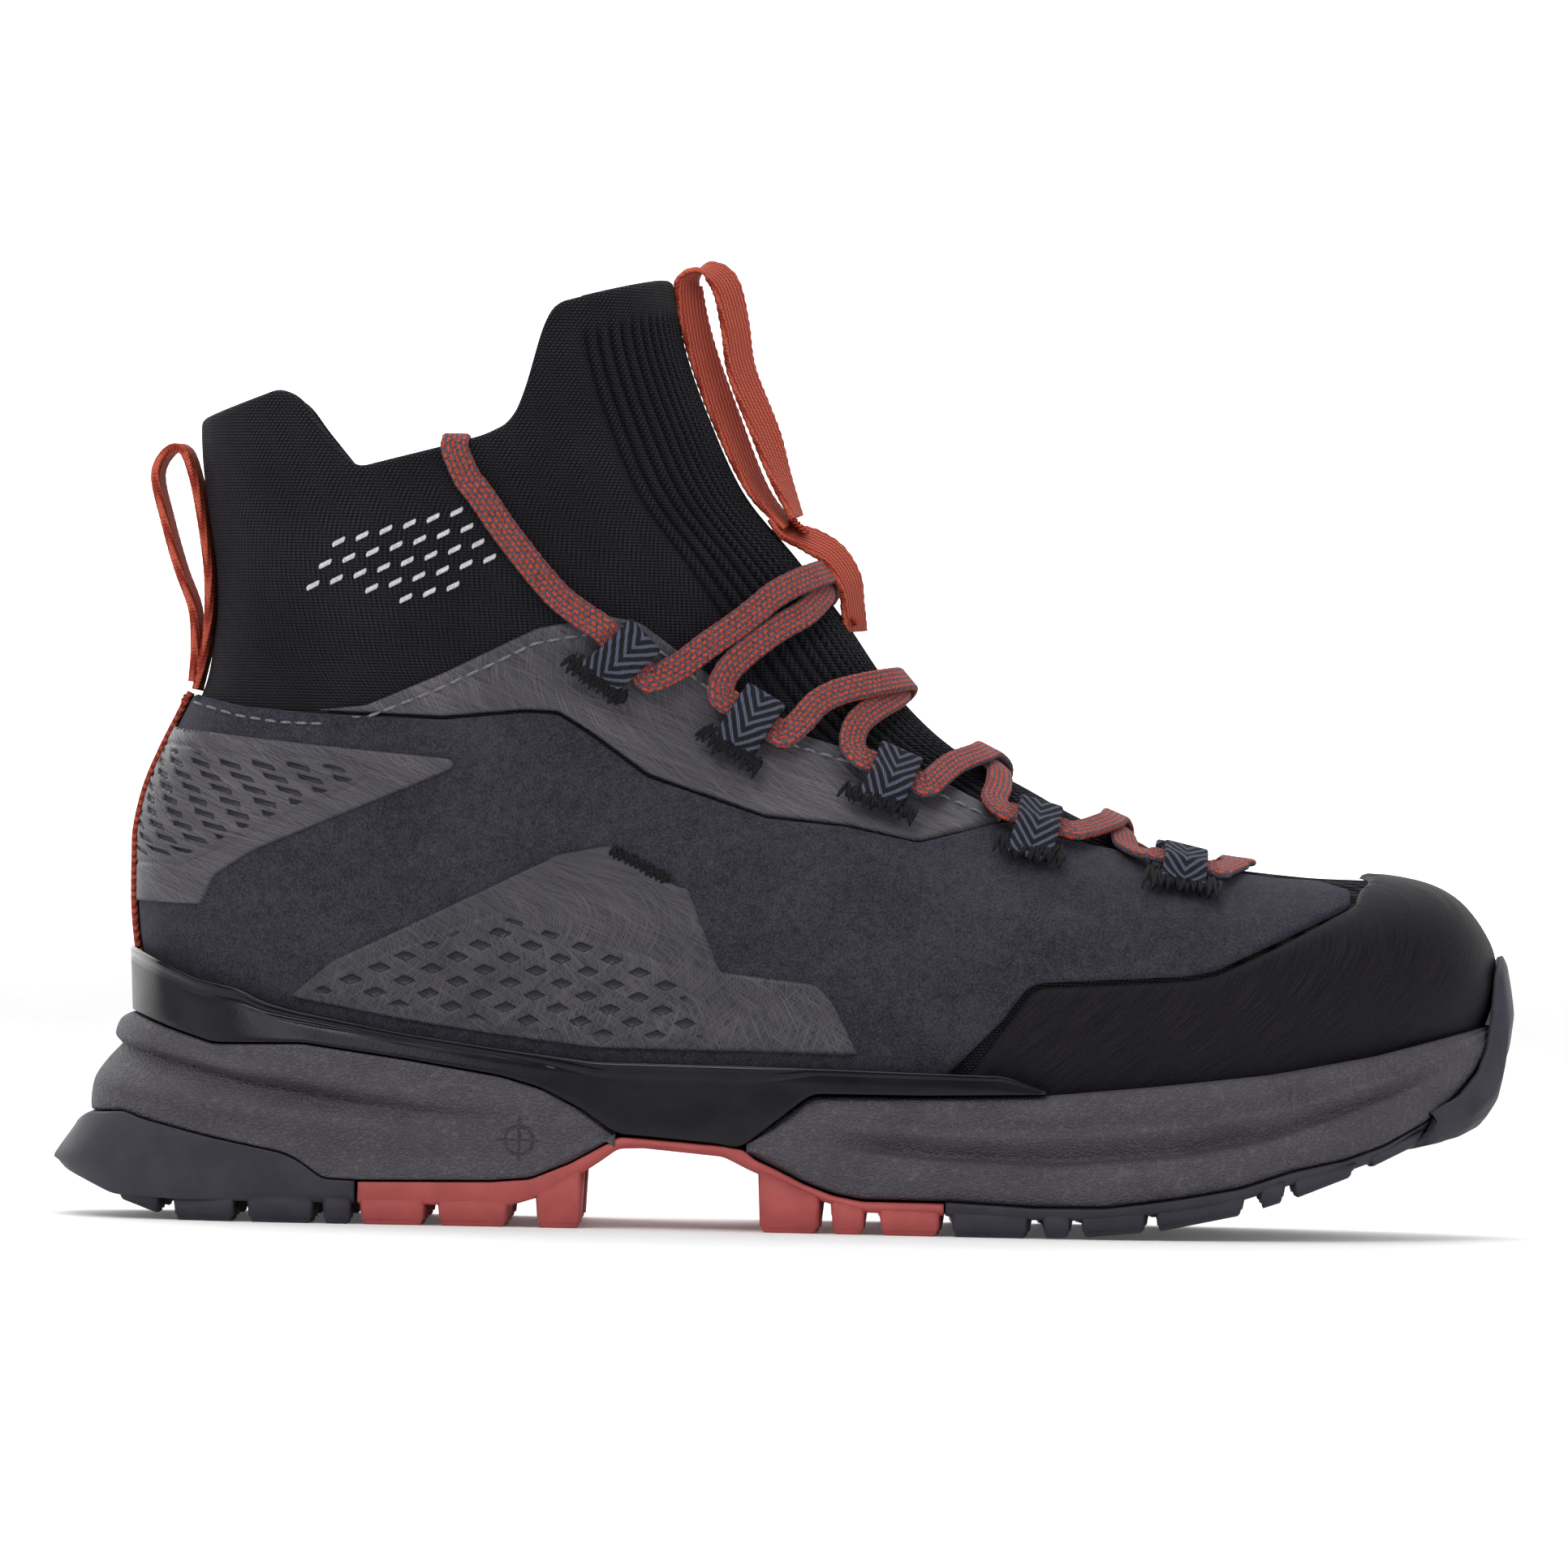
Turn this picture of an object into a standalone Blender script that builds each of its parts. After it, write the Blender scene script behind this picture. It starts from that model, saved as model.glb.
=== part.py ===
"""A right-foot, mid-height hiking boot with a knitted bootie, built as separate pieces.

Frame: +X towards the toe, -Y the outer (lateral) side, +Z up, soles resting on Z = 0.
Lengths below are in millimetres; MM turns them into metres as each mesh is made.
"""

import math

import bmesh
import bpy
import numpy as np
from mathutils import Matrix, Vector

MM = 0.001
CENTRE = (0.3, 1.99, 0)
LATERAL, MEDIAL = -1, 1
GAP = 0.3

# Upper: where each row of the surface starts on the heel line and ends on the toe and instep line.
FRONT_LINE = [(141, 38), (145, 46), (146.8, 54), (145.6, 61.5), (138.5, 70.3), (127, 74.2),
              (106, 75.2), (83, 78.2), (62.8, 85.5), (48.4, 93), (33.3, 101), (21, 112.5),
              (10.7, 126.7), (0, 140), (-11, 153), (-18.7, 168.7), (-24, 183), (-26.7, 196)]
BACK_LINE = [(-129, 36), (-132, 48), (-134, 57), (-134.8, 64), (-135, 70), (-135, 75.5),
             (-134.8, 81), (-133, 89), (-130, 96.5), (-126.4, 104), (-123.2, 111),
             (-121.8, 118.5), (-121, 127), (-121.4, 136), (-123, 146), (-124.4, 155.5),
             (-125, 163), (-125, 170)]
ROW_SAG = [13, 8, 4, 1.5] + [0] * 14
RIM = [(-125.5, 165), (-108.7, 171), (-104, 169.3), (-100, 164), (-92.7, 155.6), (-91.3, 154.9),
       (-74.7, 159.3), (-65.3, 162), (-60, 164.7), (-57.3, 170), (-54, 183.3), (-52.7, 187.3),
       (-49.3, 190.3), (-40, 193.3), (-26.7, 196), (200, 196)]
FOOT_WIDTH = {
    LATERAL: [(-140, 34), (-96, 34.5), (-50, 37), (0, 45), (40, 50), (60, 51), (90, 51), (148, 48)],
    MEDIAL: [(-140, 33), (-96, 32), (-50, 30), (0, 35), (40, 44), (60, 47), (90, 48), (148, 47)],
}
SHAFT_WIDTH = [(60, 33), (115, 33), (130, 34), (150, 35.5), (170, 37), (196, 38)]
TOE_TIP, TOE_START, TOE_SHIFT = 146.8, 60, 4
WIDEST_Z, HEEL_CENTRE_X = 48, -85
COLUMNS, ROWS = 40, 14

# Layers over the knit, as distances out from its surface.
SKIN = (0.3, 1.6)
TOP_PANEL = (0.3, 1.2)
FILM = (1.9, 2.6)
TAPE = (1.9, 3.0)
INNER = (-2.7, -1.5)
ENVELOPE, ENVELOPE_DROP = 2.95, 2.4

# Sole.
SOLE_WIDTH = {
    LATERAL: [(-150, 42), (-100, 43.5), (-60, 44), (-30, 45), (0, 49.5), (30, 54.5), (60, 57),
              (90, 56), (152, 51)],
    MEDIAL: [(-150, 41), (-100, 41.5), (-60, 39), (-30, 37.5), (0, 41.5), (30, 48.5), (60, 52.5),
             (90, 53.5), (152, 50)],
}
LUG_HEIGHT = 4.3
GROUND = [(-152, 11), (-150, 9), (-139.5, 4.4), (-126, 0), (50, 0), (64, 0.6), (73.8, 1.6),
          (80.8, 2.4), (94, 5.4), (109, 10.2), (117.8, 13.8), (135, 22), (150, 36)]
CHASSIS_TOP = [(-138, 56.5), (-129.2, 52.7), (-122.7, 49.9), (-113.3, 48.1), (-102.1, 43.9),
               (-79.7, 39.7), (-60.1, 36.9), (-39.6, 34.5), (0, 34.2), (45, 33.3), (53.5, 30.2)]
CHASSIS_LOW = [(-138, 43.4), (-129.2, 40.1), (-118.9, 36.9), (-100.3, 37.3), (-79.7, 34.5),
               (-59.2, 31.3), (-50.8, 28.9), (-42.4, 24.7), (-34.9, 19.9), (-8, 19.9), (5.2, 28.8),
               (28, 28.9), (53.5, 29.6)]
HEEL_SOLE_TOP = [(-153, 14), (-150, 18), (-146, 21.4), (-137.6, 21.9), (-133.9, 20.5),
                 (-119.9, 17.3), (-104, 14.3), (-100.3, 12.6), (-95.6, 9.2), (-88.6, 8.9)]
HEEL_SOLE_LOW = [(-153, 11.5), (-150, 9.5), (-139.5, 5), (-126, 4.3), (-88, 4.3)]
ARCH_TOP = [(-88.3, 8.9), (-61, 9.3), (-52.7, 10), (-44.3, 13.5), (-34.5, 19.1), (-29.3, 18.9),
            (-12.8, 17.6), (-7, 15), (-2, 13.2), (4, 10.2), (10, 8), (16, 6.9), (32.8, 6.9)]
ARCH_LOW = [(-88.3, 4.3), (-57, 4.3), (-50, 6.5), (-44, 10), (-38, 14), (-34.5, 16.6),
            (-29.3, 16.8), (-12.8, 15.4), (-7, 12.6), (0, 9.8), (8, 6.6), (16, 4.6), (32.8, 4.3)]
FORE_MID_TOP = [(-7.4, 18.6), (5.2, 28.2), (28, 28.4), (52, 29.2), (76, 31.6), (100, 34.4),
                (121.6, 38.4), (148, 45.2)]
FORE_MID_LOW = [(-7.4, 16), (-2, 13.5), (4, 10.6), (10, 8.4), (16, 7.3), (32.8, 7.3), (52, 6.4),
                (66.4, 6.6), (82, 8.8), (94, 11), (104.8, 14.6), (115.6, 17), (124, 20), (133.6, 25.4),
                (139.6, 30.8), (144.4, 36.2), (147.8, 42.6), (149, 44)]

# Upper pieces as side outlines.
SUEDE = [(-150, 46), (-150, 112), (-125.3, 109), (-114.7, 106.7), (-100, 105.5), (-72.6, 104.6),
         (-55.7, 106.3), (-48.9, 106.1), (-42, 101.8), (-29.9, 93.2), (-20, 90), (-5.6, 85.2),
         (11.2, 83.6), (26.2, 80.4), (43.6, 84.8), (52, 82.2), (85.6, 75.4), (100, 73.2),
         (113, 70.8), (100, 61.2), (88, 55.6), (82, 54.4), (52, 52.6), (49.2, 51.4), (44.4, 44.9),
         (33, 33), (20, 30), (-20, 30.5), (-60, 33), (-80, 36), (-113, 44)]
TOP_QUARTER = [(-99, 106.1), (-88.7, 107.3), (-73.3, 114), (-60, 120.7), (-53.3, 124),
               (-46.7, 125.3), (-38.7, 126.7), (-32, 125.4), (-18.4, 115.5), (-4.6, 104.7),
               (14.2, 99), (31.6, 93), (43.6, 87), (43.4, 85.4), (26.2, 81.1), (11.2, 84.3),
               (-5.4, 85.9), (-19.7, 90.6), (-29.5, 93.9), (-41.7, 102.5), (-48.8, 106.8),
               (-55.7, 107), (-72.6, 105.3)]
HEEL_WINDOW = [(-150, 104), (-129, 101.5), (-70.4, 96.4), (-70, 94.5), (-110.5, 77), (-119, 71.4),
               (-121.3, 65.3), (-150, 66.5)]
MID_WINDOW = [(-103, 46.6), (-94.7, 54.1), (-48, 77), (-37.7, 79), (-22.8, 70.5), (-21, 70.5),
              (-13.9, 53.5), (5.8, 51.3), (9.2, 48), (15, 37), (-39.6, 37.4), (-60.1, 39.6),
              (-79.7, 42.4)]
RAND = [(36, 33.4), (45.2, 44.2), (50, 50.6), (52.4, 51.8), (82, 53.6), (88.2, 54.8), (100.4, 60.4),
        (117.2, 69), (119.5, 80), (155, 80), (155, 37), (121.6, 34), (100, 30), (76, 27.2),
        (52, 25), (40, 25)]
COUNTER = [(-150, 48), (-150, 98), (-112, 96), (-84, 78), (-84, 52)]
TOE_CAP = [(104, 46), (104, 85), (160, 85), (160, 46)]

# Webbing loops that hold the lace: where each is sewn down, and the middle of its fold.
LACE_LOOPS = [((-41.6, 113.2), (-33.2, 121.6)), ((-13.2, 98), (-7.2, 107.8)),
              ((17.2, 86.6), (20.6, 95.4)), ((48.6, 75.6), (50.2, 84.4)),
              ((80.4, 70.6), (80.6, 75.2))]
LOOP_WIDTH, LOOP_THICK, LOOP_CLEARANCE = 9.2, 1.1, 0.5

# Lace: its points over the upper between the loops, and how far it lies out from the knit.
LACE_WIDTH, LACE_THICK = 6.5, 1.5
LACE_LOW, LACE_HIGH, LACE_BAR, LACE_IN_LOOP, LACE_INSIDE = 1.7, 3.7, 2.0, 4.7, -6
LACE_BEHIND_FOLD, LACE_BESIDE_LOOP, LACE_STRAIGHT = 3.5, 7.4, 5.2
RISE = [[(-19, 120.6), (-9.3, 127.6), (-2, 132.6)], [(4, 108), (12.6, 111.6)], [(32.4, 95)],
        [(60.8, 81.6)]]
CROSSING_X = [4.4, 21, 39.6, 66.6]
FALL = [[(1, 127.4), (-7.4, 121.8), (-14.6, 115.2)], [(15.8, 107.6), (11.6, 101.6)], [(42.2, 91)],
        [(69, 79)]]
BAR_X, BAR_SIDE = 92.5, [(90.4, 74.2), (92.2, 75.7)]
COLLAR_RUN = [(-49, 130.5), (-57.3, 140), (-64.4, 149.6), (-68.6, 155)]
INSIDE_RUN = [(-71, 154), (-70.4, 143), (-68, 130), (-64, 115), (-59, 100), (-54, 84), (-49.5, 70)]
RIM_X = -71
OVER_RIM = [(2.0, 0.2, 0.7), (0.6, 2.2, 0.2), (-1.8, 2.9, 0), (-4.4, 2.2, -0.4), (-5.8, -0.6, -0.8)]

# Red webbing: pull loops at the heel and on the tongue, and the keeper over the top crossing.
HEEL_LOOP = [(-124.7, 111), (-123.2, 118.6), (-122.3, 127), (-122.7, 136), (-124.4, 147),
             (-126.2, 155), (-128.3, 160), (-131.5, 160), (-134, 155), (-132, 146), (-128.9, 135.6),
             (-125.7, 127), (-125.2, 119), (-126.5, 110.8)]
HEEL_PIVOT = (-124.3, 110)
TONGUE_LOOP = [(-1.9, 146.6), (-9.2, 154.4), (-16.8, 169.6), (-22, 183.6), (-24.6, 194.6),
               (-24, 198), (-20.8, 199.4), (-17, 196.5), (-14.8, 188), (-13.2, 178.4), (-8, 165.6),
               (-4.2, 156.6), (-0.1, 148.4)]
TONGUE_PIVOT = (-0.4, 146.2)
KEEPER = [(-1.7, 143), (2.6, 143.6), (7.4, 140.2), (10.9, 135.2), (12.4, 130), (13.3, 125)]
WEBBING_WIDTH, WEBBING_THICK = 10, 1.4

FOOTBED_PIVOT = (129, 0, 40)
BOARD_THICK, FOOTBED_THICK = 1.8, 4.5


def clear_scene():
    for item in list(bpy.data.objects):
        bpy.data.objects.remove(item, do_unlink=True)


def material(name, colour, roughness, metallic=0.0):
    made = bpy.data.materials.new(name)
    made.use_nodes = True
    shader = made.node_tree.nodes["Principled BSDF"]
    shader.inputs["Base Color"].default_value = (*colour, 1)
    shader.inputs["Roughness"].default_value = roughness
    shader.inputs["Metallic"].default_value = metallic
    return made


def smoothstep(low, high, x):
    t = np.clip((x - low) / (high - low), 0, 1)
    return t * t * (3 - 2 * t)


def level(keys, x):
    """The value at x on the line through keys."""
    return np.interp(x, [k[0] for k in keys], [k[1] for k in keys])


def spline(points, t):
    """A smooth curve through points, evenly numbered from 0 to 1, at each t."""
    p = np.array(points, float)
    p = np.vstack([2 * p[:1] - p[1:2], p, 2 * p[-1:] - p[-2:-1]])
    last = len(points) - 1
    at = np.clip(np.atleast_1d(t), 0, 1) * last
    i = np.minimum(at.astype(int), last - 1)
    f = (at - i)[:, None]
    a, b, c, d = p[i], p[i + 1], p[i + 2], p[i + 3]
    return 0.5 * (2 * b + (c - a) * f + (2 * a - 5 * b + 4 * c - d) * f**2
                  + (3 * b - a - 3 * c + d) * f**3)


DENSE = np.linspace(0, 1, 400)
FRONT_CURVE = spline(FRONT_LINE, DENSE)
BACK_CURVE = spline(BACK_LINE, DENSE)
RIDGE = FRONT_CURVE[FRONT_CURVE[:, 1] > WIDEST_Z + 5][::-1]


def one_over_height(x):
    """One over the ridge's height above the widest level, falling to 0 behind the shaft's front."""
    top = 1 / (np.interp(x, RIDGE[:, 0], RIDGE[:, 1]) - WIDEST_Z)
    behind = np.clip(1 / (196 - WIDEST_Z) - 0.00024 * (RIDGE[0, 0] - x), 0, None)
    return np.where(x < RIDGE[0, 0], behind, top)


def rounded(fraction, power):
    """How wide a rounded end still is, from 1 at its start to 0 at its tip."""
    return (1 - np.clip(fraction, 0, 1) ** power) ** (1 / power)


def half_width(x, z, side):
    """The knit's distance from the middle plane, before the toe's shift."""
    tuck = np.where(z < 54, TOE_TIP - np.interp(z, FRONT_CURVE[:80, 1], FRONT_CURVE[:80, 0]), 0)
    foot = level(FOOT_WIDTH[side], x) * rounded((x + tuck - TOE_START) / (TOE_TIP - TOE_START), 2.2)
    narrowing = np.maximum(foot - level(SHAFT_WIDTH, z), 0) * smoothstep(60, 115, z)
    width = (foot - narrowing) * rounded((z - WIDEST_Z) * one_over_height(x), 2.3)
    back = np.interp(z, BACK_CURVE[:, 1], BACK_CURVE[:, 0])
    width = width * rounded((HEEL_CENTRE_X - x) / (HEEL_CENTRE_X - back), 2.3)
    return width * (1 - 0.05 * (np.maximum(WIDEST_Z - z, 0) / 20) ** 2)


def middle(x):
    return TOE_SHIFT * smoothstep(TOE_START, TOE_TIP, x)


def on_row(turn, v):
    """X and Z where the row at v passes the column at this turn, 0 at the heel and pi at the toe."""
    front, back = spline(FRONT_LINE, v), spline(BACK_LINE, v)
    s = (1 - np.cos(turn)) / 2
    x = back[:, 0] + (front[:, 0] - back[:, 0]) * s
    sag = np.interp(v, np.linspace(0, 1, len(ROW_SAG)), ROW_SAG)
    return x, back[:, 1] + (front[:, 1] - back[:, 1]) * s - sag * np.sin(np.pi * s**1.25)


def rim_at(turn):
    x, z = on_row(turn, DENSE)
    above = np.nonzero(z >= level(RIM, x) - 0.01)[0]
    return DENSE[above[0]] if len(above) else 1.0


def surface_grid():
    """The knit's outer surface: rows from the sole to the rim, each once round from the heel."""
    grid = np.zeros((ROWS + 1, COLUMNS, 3))
    for i in range(COLUMNS):
        side = LATERAL if i <= COLUMNS // 2 else MEDIAL
        turn = 2 * math.pi * min(i, COLUMNS - i) / COLUMNS
        v = rim_at(turn) * np.linspace(0, 1, ROWS + 1)
        x, z = on_row(turn, v)
        y = middle(x) + side * half_width(x, z, side)
        if i in (0, COLUMNS // 2):
            y = middle(x)
        grid[:, i] = np.stack([x, y, z], 1)
    return grid


def grid_normals(grid):
    around = np.roll(grid, -1, 1) - np.roll(grid, 1, 1)
    normal = np.cross(around, np.gradient(grid, axis=0))
    return normal / np.linalg.norm(normal, axis=2, keepdims=True)


GRID = surface_grid()
NORMALS = grid_normals(GRID)


def add_mesh(name, vertices, faces, finish):
    """A closed mesh from points in millimetres, moved so that the whole boot is centred."""
    mesh = bpy.data.meshes.new(name)
    mesh.from_pydata([tuple((c + o) * MM for c, o in zip(p, CENTRE)) for p in vertices], [], faces)
    work = bmesh.new()
    work.from_mesh(mesh)
    bmesh.ops.remove_doubles(work, verts=work.verts, dist=0.00001)
    bmesh.ops.recalc_face_normals(work, faces=work.faces)
    work.to_mesh(mesh)
    work.free()
    mesh.materials.append(finish)
    made = bpy.data.objects.new(name, mesh)
    bpy.context.scene.collection.objects.link(made)
    return made


def ring_faces(rings, points, closed):
    """Triangles between successive rings; a closed stack also joins its last ring to its first."""
    faces = []
    for j in range(rings if closed else rings - 1):
        here, there = j * points, (j + 1) % rings * points
        for i in range(points):
            k = (i + 1) % points
            faces.append((here + i, here + k, there + k))
            faces.append((here + i, there + k, there + i))
    return faces


def strip_cap(start, points):
    """Faces across one ring, from each point to the one facing it on the other side."""
    half = points // 2
    faces = [(start, start + 1, start + points - 1)]
    for i in range(1, half - 1):
        faces.append((start + i, start + i + 1, start + points - i - 1, start + points - i))
    return faces + [(start + half - 1, start + half, start + half + 1)]


def stack(name, rings, finish):
    """A closed body from rings that start at the heel's middle and run round the outline."""
    rings = [np.asarray(r) for r in rings]
    points = len(rings[0])
    faces = ring_faces(len(rings), points, False)
    faces += strip_cap(0, points) + strip_cap((len(rings) - 1) * points, points)
    return add_mesh(name, np.vstack(rings), faces, finish)


def layer(rows, distance):
    return [GRID[j] + NORMALS[j] * distance for j in rows]


def cut(target, cutter, operation):
    """Applies a Boolean and removes the cutter."""
    change = target.modifiers.new("cut", "BOOLEAN")
    change.operation = operation
    change.solver = "EXACT"
    change.object = cutter
    evaluated = target.evaluated_get(bpy.context.evaluated_depsgraph_get())
    mesh = bpy.data.meshes.new_from_object(evaluated)
    target.modifiers.remove(change)
    target.data = mesh
    bpy.data.objects.remove(cutter, do_unlink=True)


def prism(outline, low, high):
    """A cutter: a side outline extruded across the boot from Y = low to high."""
    count = len(outline)
    vertices = [(x, y, z) for y in (low, high) for x, z in outline]
    faces = [tuple(range(count)), tuple(range(2 * count - 1, count - 1, -1))]
    faces += [(i, (i + 1) % count, count + (i + 1) % count, count + i) for i in range(count)]
    return add_mesh("cutter", vertices, faces, CUTTER)


def shell(name, outline, depth, finish, low=-90, high=90):
    """The part of one layer of the upper that lies inside a side outline."""
    rows = range(ROWS + 1)
    outside = ring_faces(ROWS + 1, COLUMNS, False)
    count = (ROWS + 1) * COLUMNS
    inside = [(a + count, c + count, b + count) for a, b, c in outside]
    rims = []
    for row in (0, ROWS):
        for i in range(COLUMNS):
            a, b = row * COLUMNS + i, row * COLUMNS + (i + 1) % COLUMNS
            rims += [(a, b, b + count), (a, b + count, a + count)]
    rings = layer(rows, depth[1]) + layer(rows, depth[0])
    piece = add_mesh(name, np.vstack(rings), outside + inside + rims, finish)
    cut(piece, prism(outline, low, high), "INTERSECT")
    return piece


def sock(name, top_row, outer, inner, collar, finish):
    """A bootie layer between two depths, closed under the foot, thicker by collar at its rim."""
    rows = list(range(top_row + 1))
    outside = layer(rows, -outer)
    inside = []
    for j in rows:
        padding = collar * smoothstep(0.72, 0.86, j / ROWS)
        inside.append(GRID[j] - NORMALS[j] * (inner + padding))
    lip = (outside[-1] + inside[-1]) / 2 + np.array([0, 0, 0.7 if collar else 0.2])
    for ring, lift in ((outside[0], outer), (inside[0], inner)):
        ring[:, 2] += lift
    count, points = len(rows), COLUMNS
    walls = ring_faces(count, points, False)
    start = (count + 1) * points
    faces = walls + [(a + start, c + start, b + start) for a, b, c in walls]
    for i in range(points):
        k = (i + 1) % points
        top, mid, low = (count - 1) * points, count * points, start + (count - 1) * points
        faces += [(top + i, top + k, mid + k, mid + i), (mid + i, mid + k, low + k, low + i)]
    faces += strip_cap(0, points) + strip_cap(start, points)
    return add_mesh(name, np.vstack(outside + [lip] + inside), faces, finish)


def sole_half(x, side, tip, back):
    toe = rounded((x - 62) / (tip - 62), 2.2)
    heel = rounded((-98 - x) / (-98 - back), 2.3)
    return level(SOLE_WIDTH[side], x) * toe * heel


def stations(start, end, count, round_start, round_end):
    """Places along the sole, closer together towards a rounded end."""
    t = np.linspace(0, 1, count)
    if round_start and round_end:
        t = (1 - np.cos(np.pi * t)) / 2
    elif round_start:
        t = 1 - np.cos(np.pi / 2 * t)
    elif round_end:
        t = np.sin(np.pi / 2 * t)
    return start + (end - start) * t


def facing_quads(start, points):
    """Faces across one ring, each side point joined to the one facing it."""
    return [(start + i, start + i + 1, start + points - i - 2, start + points - i - 1)
            for i in range(points // 2 - 1)]


def ring_slab(name, rings, finish):
    """A closed body from rings of lateral points followed by the medial ones in reverse."""
    points = len(rings[0])
    faces = ring_faces(len(rings), points, False)
    faces += facing_quads(0, points) + facing_quads((len(rings) - 1) * points, points)
    return add_mesh(name, np.vstack(rings), faces, finish)


def slab(name, low, top, ends, count, walls, finish, round_start=False, round_end=False):
    """A sole piece between two side lines. walls: (height fraction, side inset, end inset)."""
    rings = []
    for fraction, inset, end_inset in walls:
        start = ends[0] + (end_inset if round_start else 0)
        end = ends[1] - (end_inset if round_end else 0)
        x = stations(start, end, count, round_start, round_end)
        z = level(low, x) * (1 - fraction) + level(top, x) * fraction
        tip = end if round_end else 153
        back = start if round_start else -150
        sides = []
        for side in (LATERAL, MEDIAL):
            width = sole_half(x, side, tip, back) * (1 - inset / 45)
            sides.append(np.stack([x, middle(x) + side * width, z], 1))
        rings.append(np.vstack([sides[0], sides[1][::-1]]))
    return ring_slab(name, rings, finish)


def to_grid(x, z, side):
    """Where a side point lies on the surface: its signed turn from the toe, and its row."""
    front, back = FRONT_CURVE[:, 0], BACK_CURVE[:, 0]
    s = (x - back) / (front - back)
    reached = np.nonzero((s <= 1) & (s >= 0))[0]
    turn = np.arccos(1 - 2 * s[reached])
    heights = np.array([on_row(t, v)[1][0] for t, v in zip(turn, DENSE[reached])])
    v = np.interp(z, heights, DENSE[reached])
    return side * (math.pi - np.interp(v, DENSE[reached], turn)), v


def from_grid(turn, v):
    """The surface point at a signed turn from the toe and a row, negative on the lateral side."""
    turn, v = np.atleast_1d(turn), np.atleast_1d(v)
    x, z = on_row(math.pi - np.abs(turn), v)
    sides = np.where(turn < 0, half_width(x, z, LATERAL), half_width(x, z, MEDIAL))
    return np.stack([x, middle(x) + np.sign(turn) * sides, z], 1)


def off_surface(turn, v, out):
    """Points at distances out from the surface, and the outward directions there."""
    around = from_grid(turn + 0.03, v) - from_grid(turn - 0.03, v)
    up = from_grid(turn, v + 0.006) - from_grid(turn, v - 0.006)
    normal = np.cross(around, up)
    normal /= np.linalg.norm(normal, axis=1, keepdims=True)
    return from_grid(turn, v) + normal * np.atleast_1d(out)[:, None], normal


def surface_at(x, z, side, out):
    turn, v = to_grid(x, z, side)
    points, normals = off_surface(np.array([turn]), np.array([v]), out)
    return points[0], normals[0]


def ribbon(name, path, across, width, thick, finish):
    """A flat strap swept along a path, its width lying along across at every point."""
    path = np.asarray(path, float)
    along = np.gradient(path, axis=0)
    along /= np.linalg.norm(along, axis=1, keepdims=True)
    across = np.asarray(across, float)
    across = across - along * (across * along).sum(1, keepdims=True)
    across /= np.linalg.norm(across, axis=1, keepdims=True)
    up = np.cross(along, across)
    section = [(-0.5, -0.5), (0.5, -0.5), (0.5, 0.5), (-0.5, 0.5)]
    rings = [path + across * width * a + up * thick * b for a, b in section]
    vertices = np.stack(rings, 1).reshape(-1, 3)
    faces = ring_faces(len(path), 4, False)
    last = (len(path) - 1) * 4
    return add_mesh(name, vertices, faces + [(0, 1, 2, 3), (last, last + 1, last + 2, last + 3)], finish)


def flat_outward():
    """The bottom row's outward directions, kept level."""
    level_out = NORMALS[0] * np.array([1, 1, 0])
    return level_out / np.linalg.norm(level_out, axis=1, keepdims=True)


def upper_envelope():
    """The space that the upper fills in the sole: a cutter a little larger than the upper."""
    rings = layer(range(ROWS // 2 + 1), ENVELOPE)
    rings[0] = GRID[0] + flat_outward() * ENVELOPE
    base = rings[0] - np.array([0, 0, ENVELOPE_DROP])
    return stack("cutter", [base] + rings, CUTTER)


def foot_plate(name, inset, rise, thick, finish):
    """A thin plate under the foot that follows the bottom of the upper."""
    lower = GRID[0] - flat_outward() * inset + np.array([0, 0, rise])
    return stack(name, [lower, lower + np.array([0, 0, thick])], finish)


def lug(x0, x1, y0, y1, base):
    """A tread lug reaching from the ground line up into the plate, tapered downwards."""
    taper = 0.9
    corners = ((x0, y0, 1, 1), (x1, y0, -1, 1), (x1, y1, -1, -1), (x0, y1, 1, -1))
    foot = [(x + taper * a, y + taper * b, level(GROUND, x)) for x, y, a, b in corners]
    root = [(x, y, level(base, x) + 1.0) for x, y, a, b in corners]
    faces = [(0, 1, 2, 3), (7, 6, 5, 4)]
    faces += [(i, (i + 1) % 4, 4 + (i + 1) % 4, 4 + i) for i in range(4)]
    return add_mesh("cutter", foot + root, faces, CUTTER)


def add_lugs(plate, spans, base):
    """Edge lugs on both sides over each X span, and a shorter one between them."""
    for x0, x1 in spans:
        x = (x0 + x1) / 2
        for side in (LATERAL, MEDIAL):
            reach = min(float(sole_half(p, side, 148, -147)) for p in (x0, x1)) - 2
            edges = sorted(float(middle(x)) + side * r for r in (reach, reach - 15))
            cut(plate, lug(x0, x1, *edges, base), "UNION")
        cut(plate, lug(x0 + 2, x1 - 3, float(middle(x)) - 8, float(middle(x)) + 8, base), "UNION")


HEEL_WALLS = [(0, 1.2, 0.6), (0.1, 0, 0.2), (0.42, 0.6, 1.4), (0.66, 3.2, 6.4), (0.78, 2.6, 5.4),
              (1, 2.4, 9)]
FORE_WALLS = [(0, 0.8, 0.3), (0.15, 0, 0), (0.5, 0.8, 0.2), (0.8, 1.4, 0.4), (1, 3, 1)]


def grown(keys, distance):
    return [(x, z + distance) for x, z in keys]


def heel_foam(name, grow, finish):
    low = grown(HEEL_SOLE_TOP[:-1] + ARCH_TOP, GAP - grow)
    walls = [(f, side - grow, end - grow) for f, side, end in HEEL_WALLS]
    top = grown(CHASSIS_LOW, -GAP)
    return slab(name, low, top, (-145.6, -35.2 + grow), 24, walls, finish, True)


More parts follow.
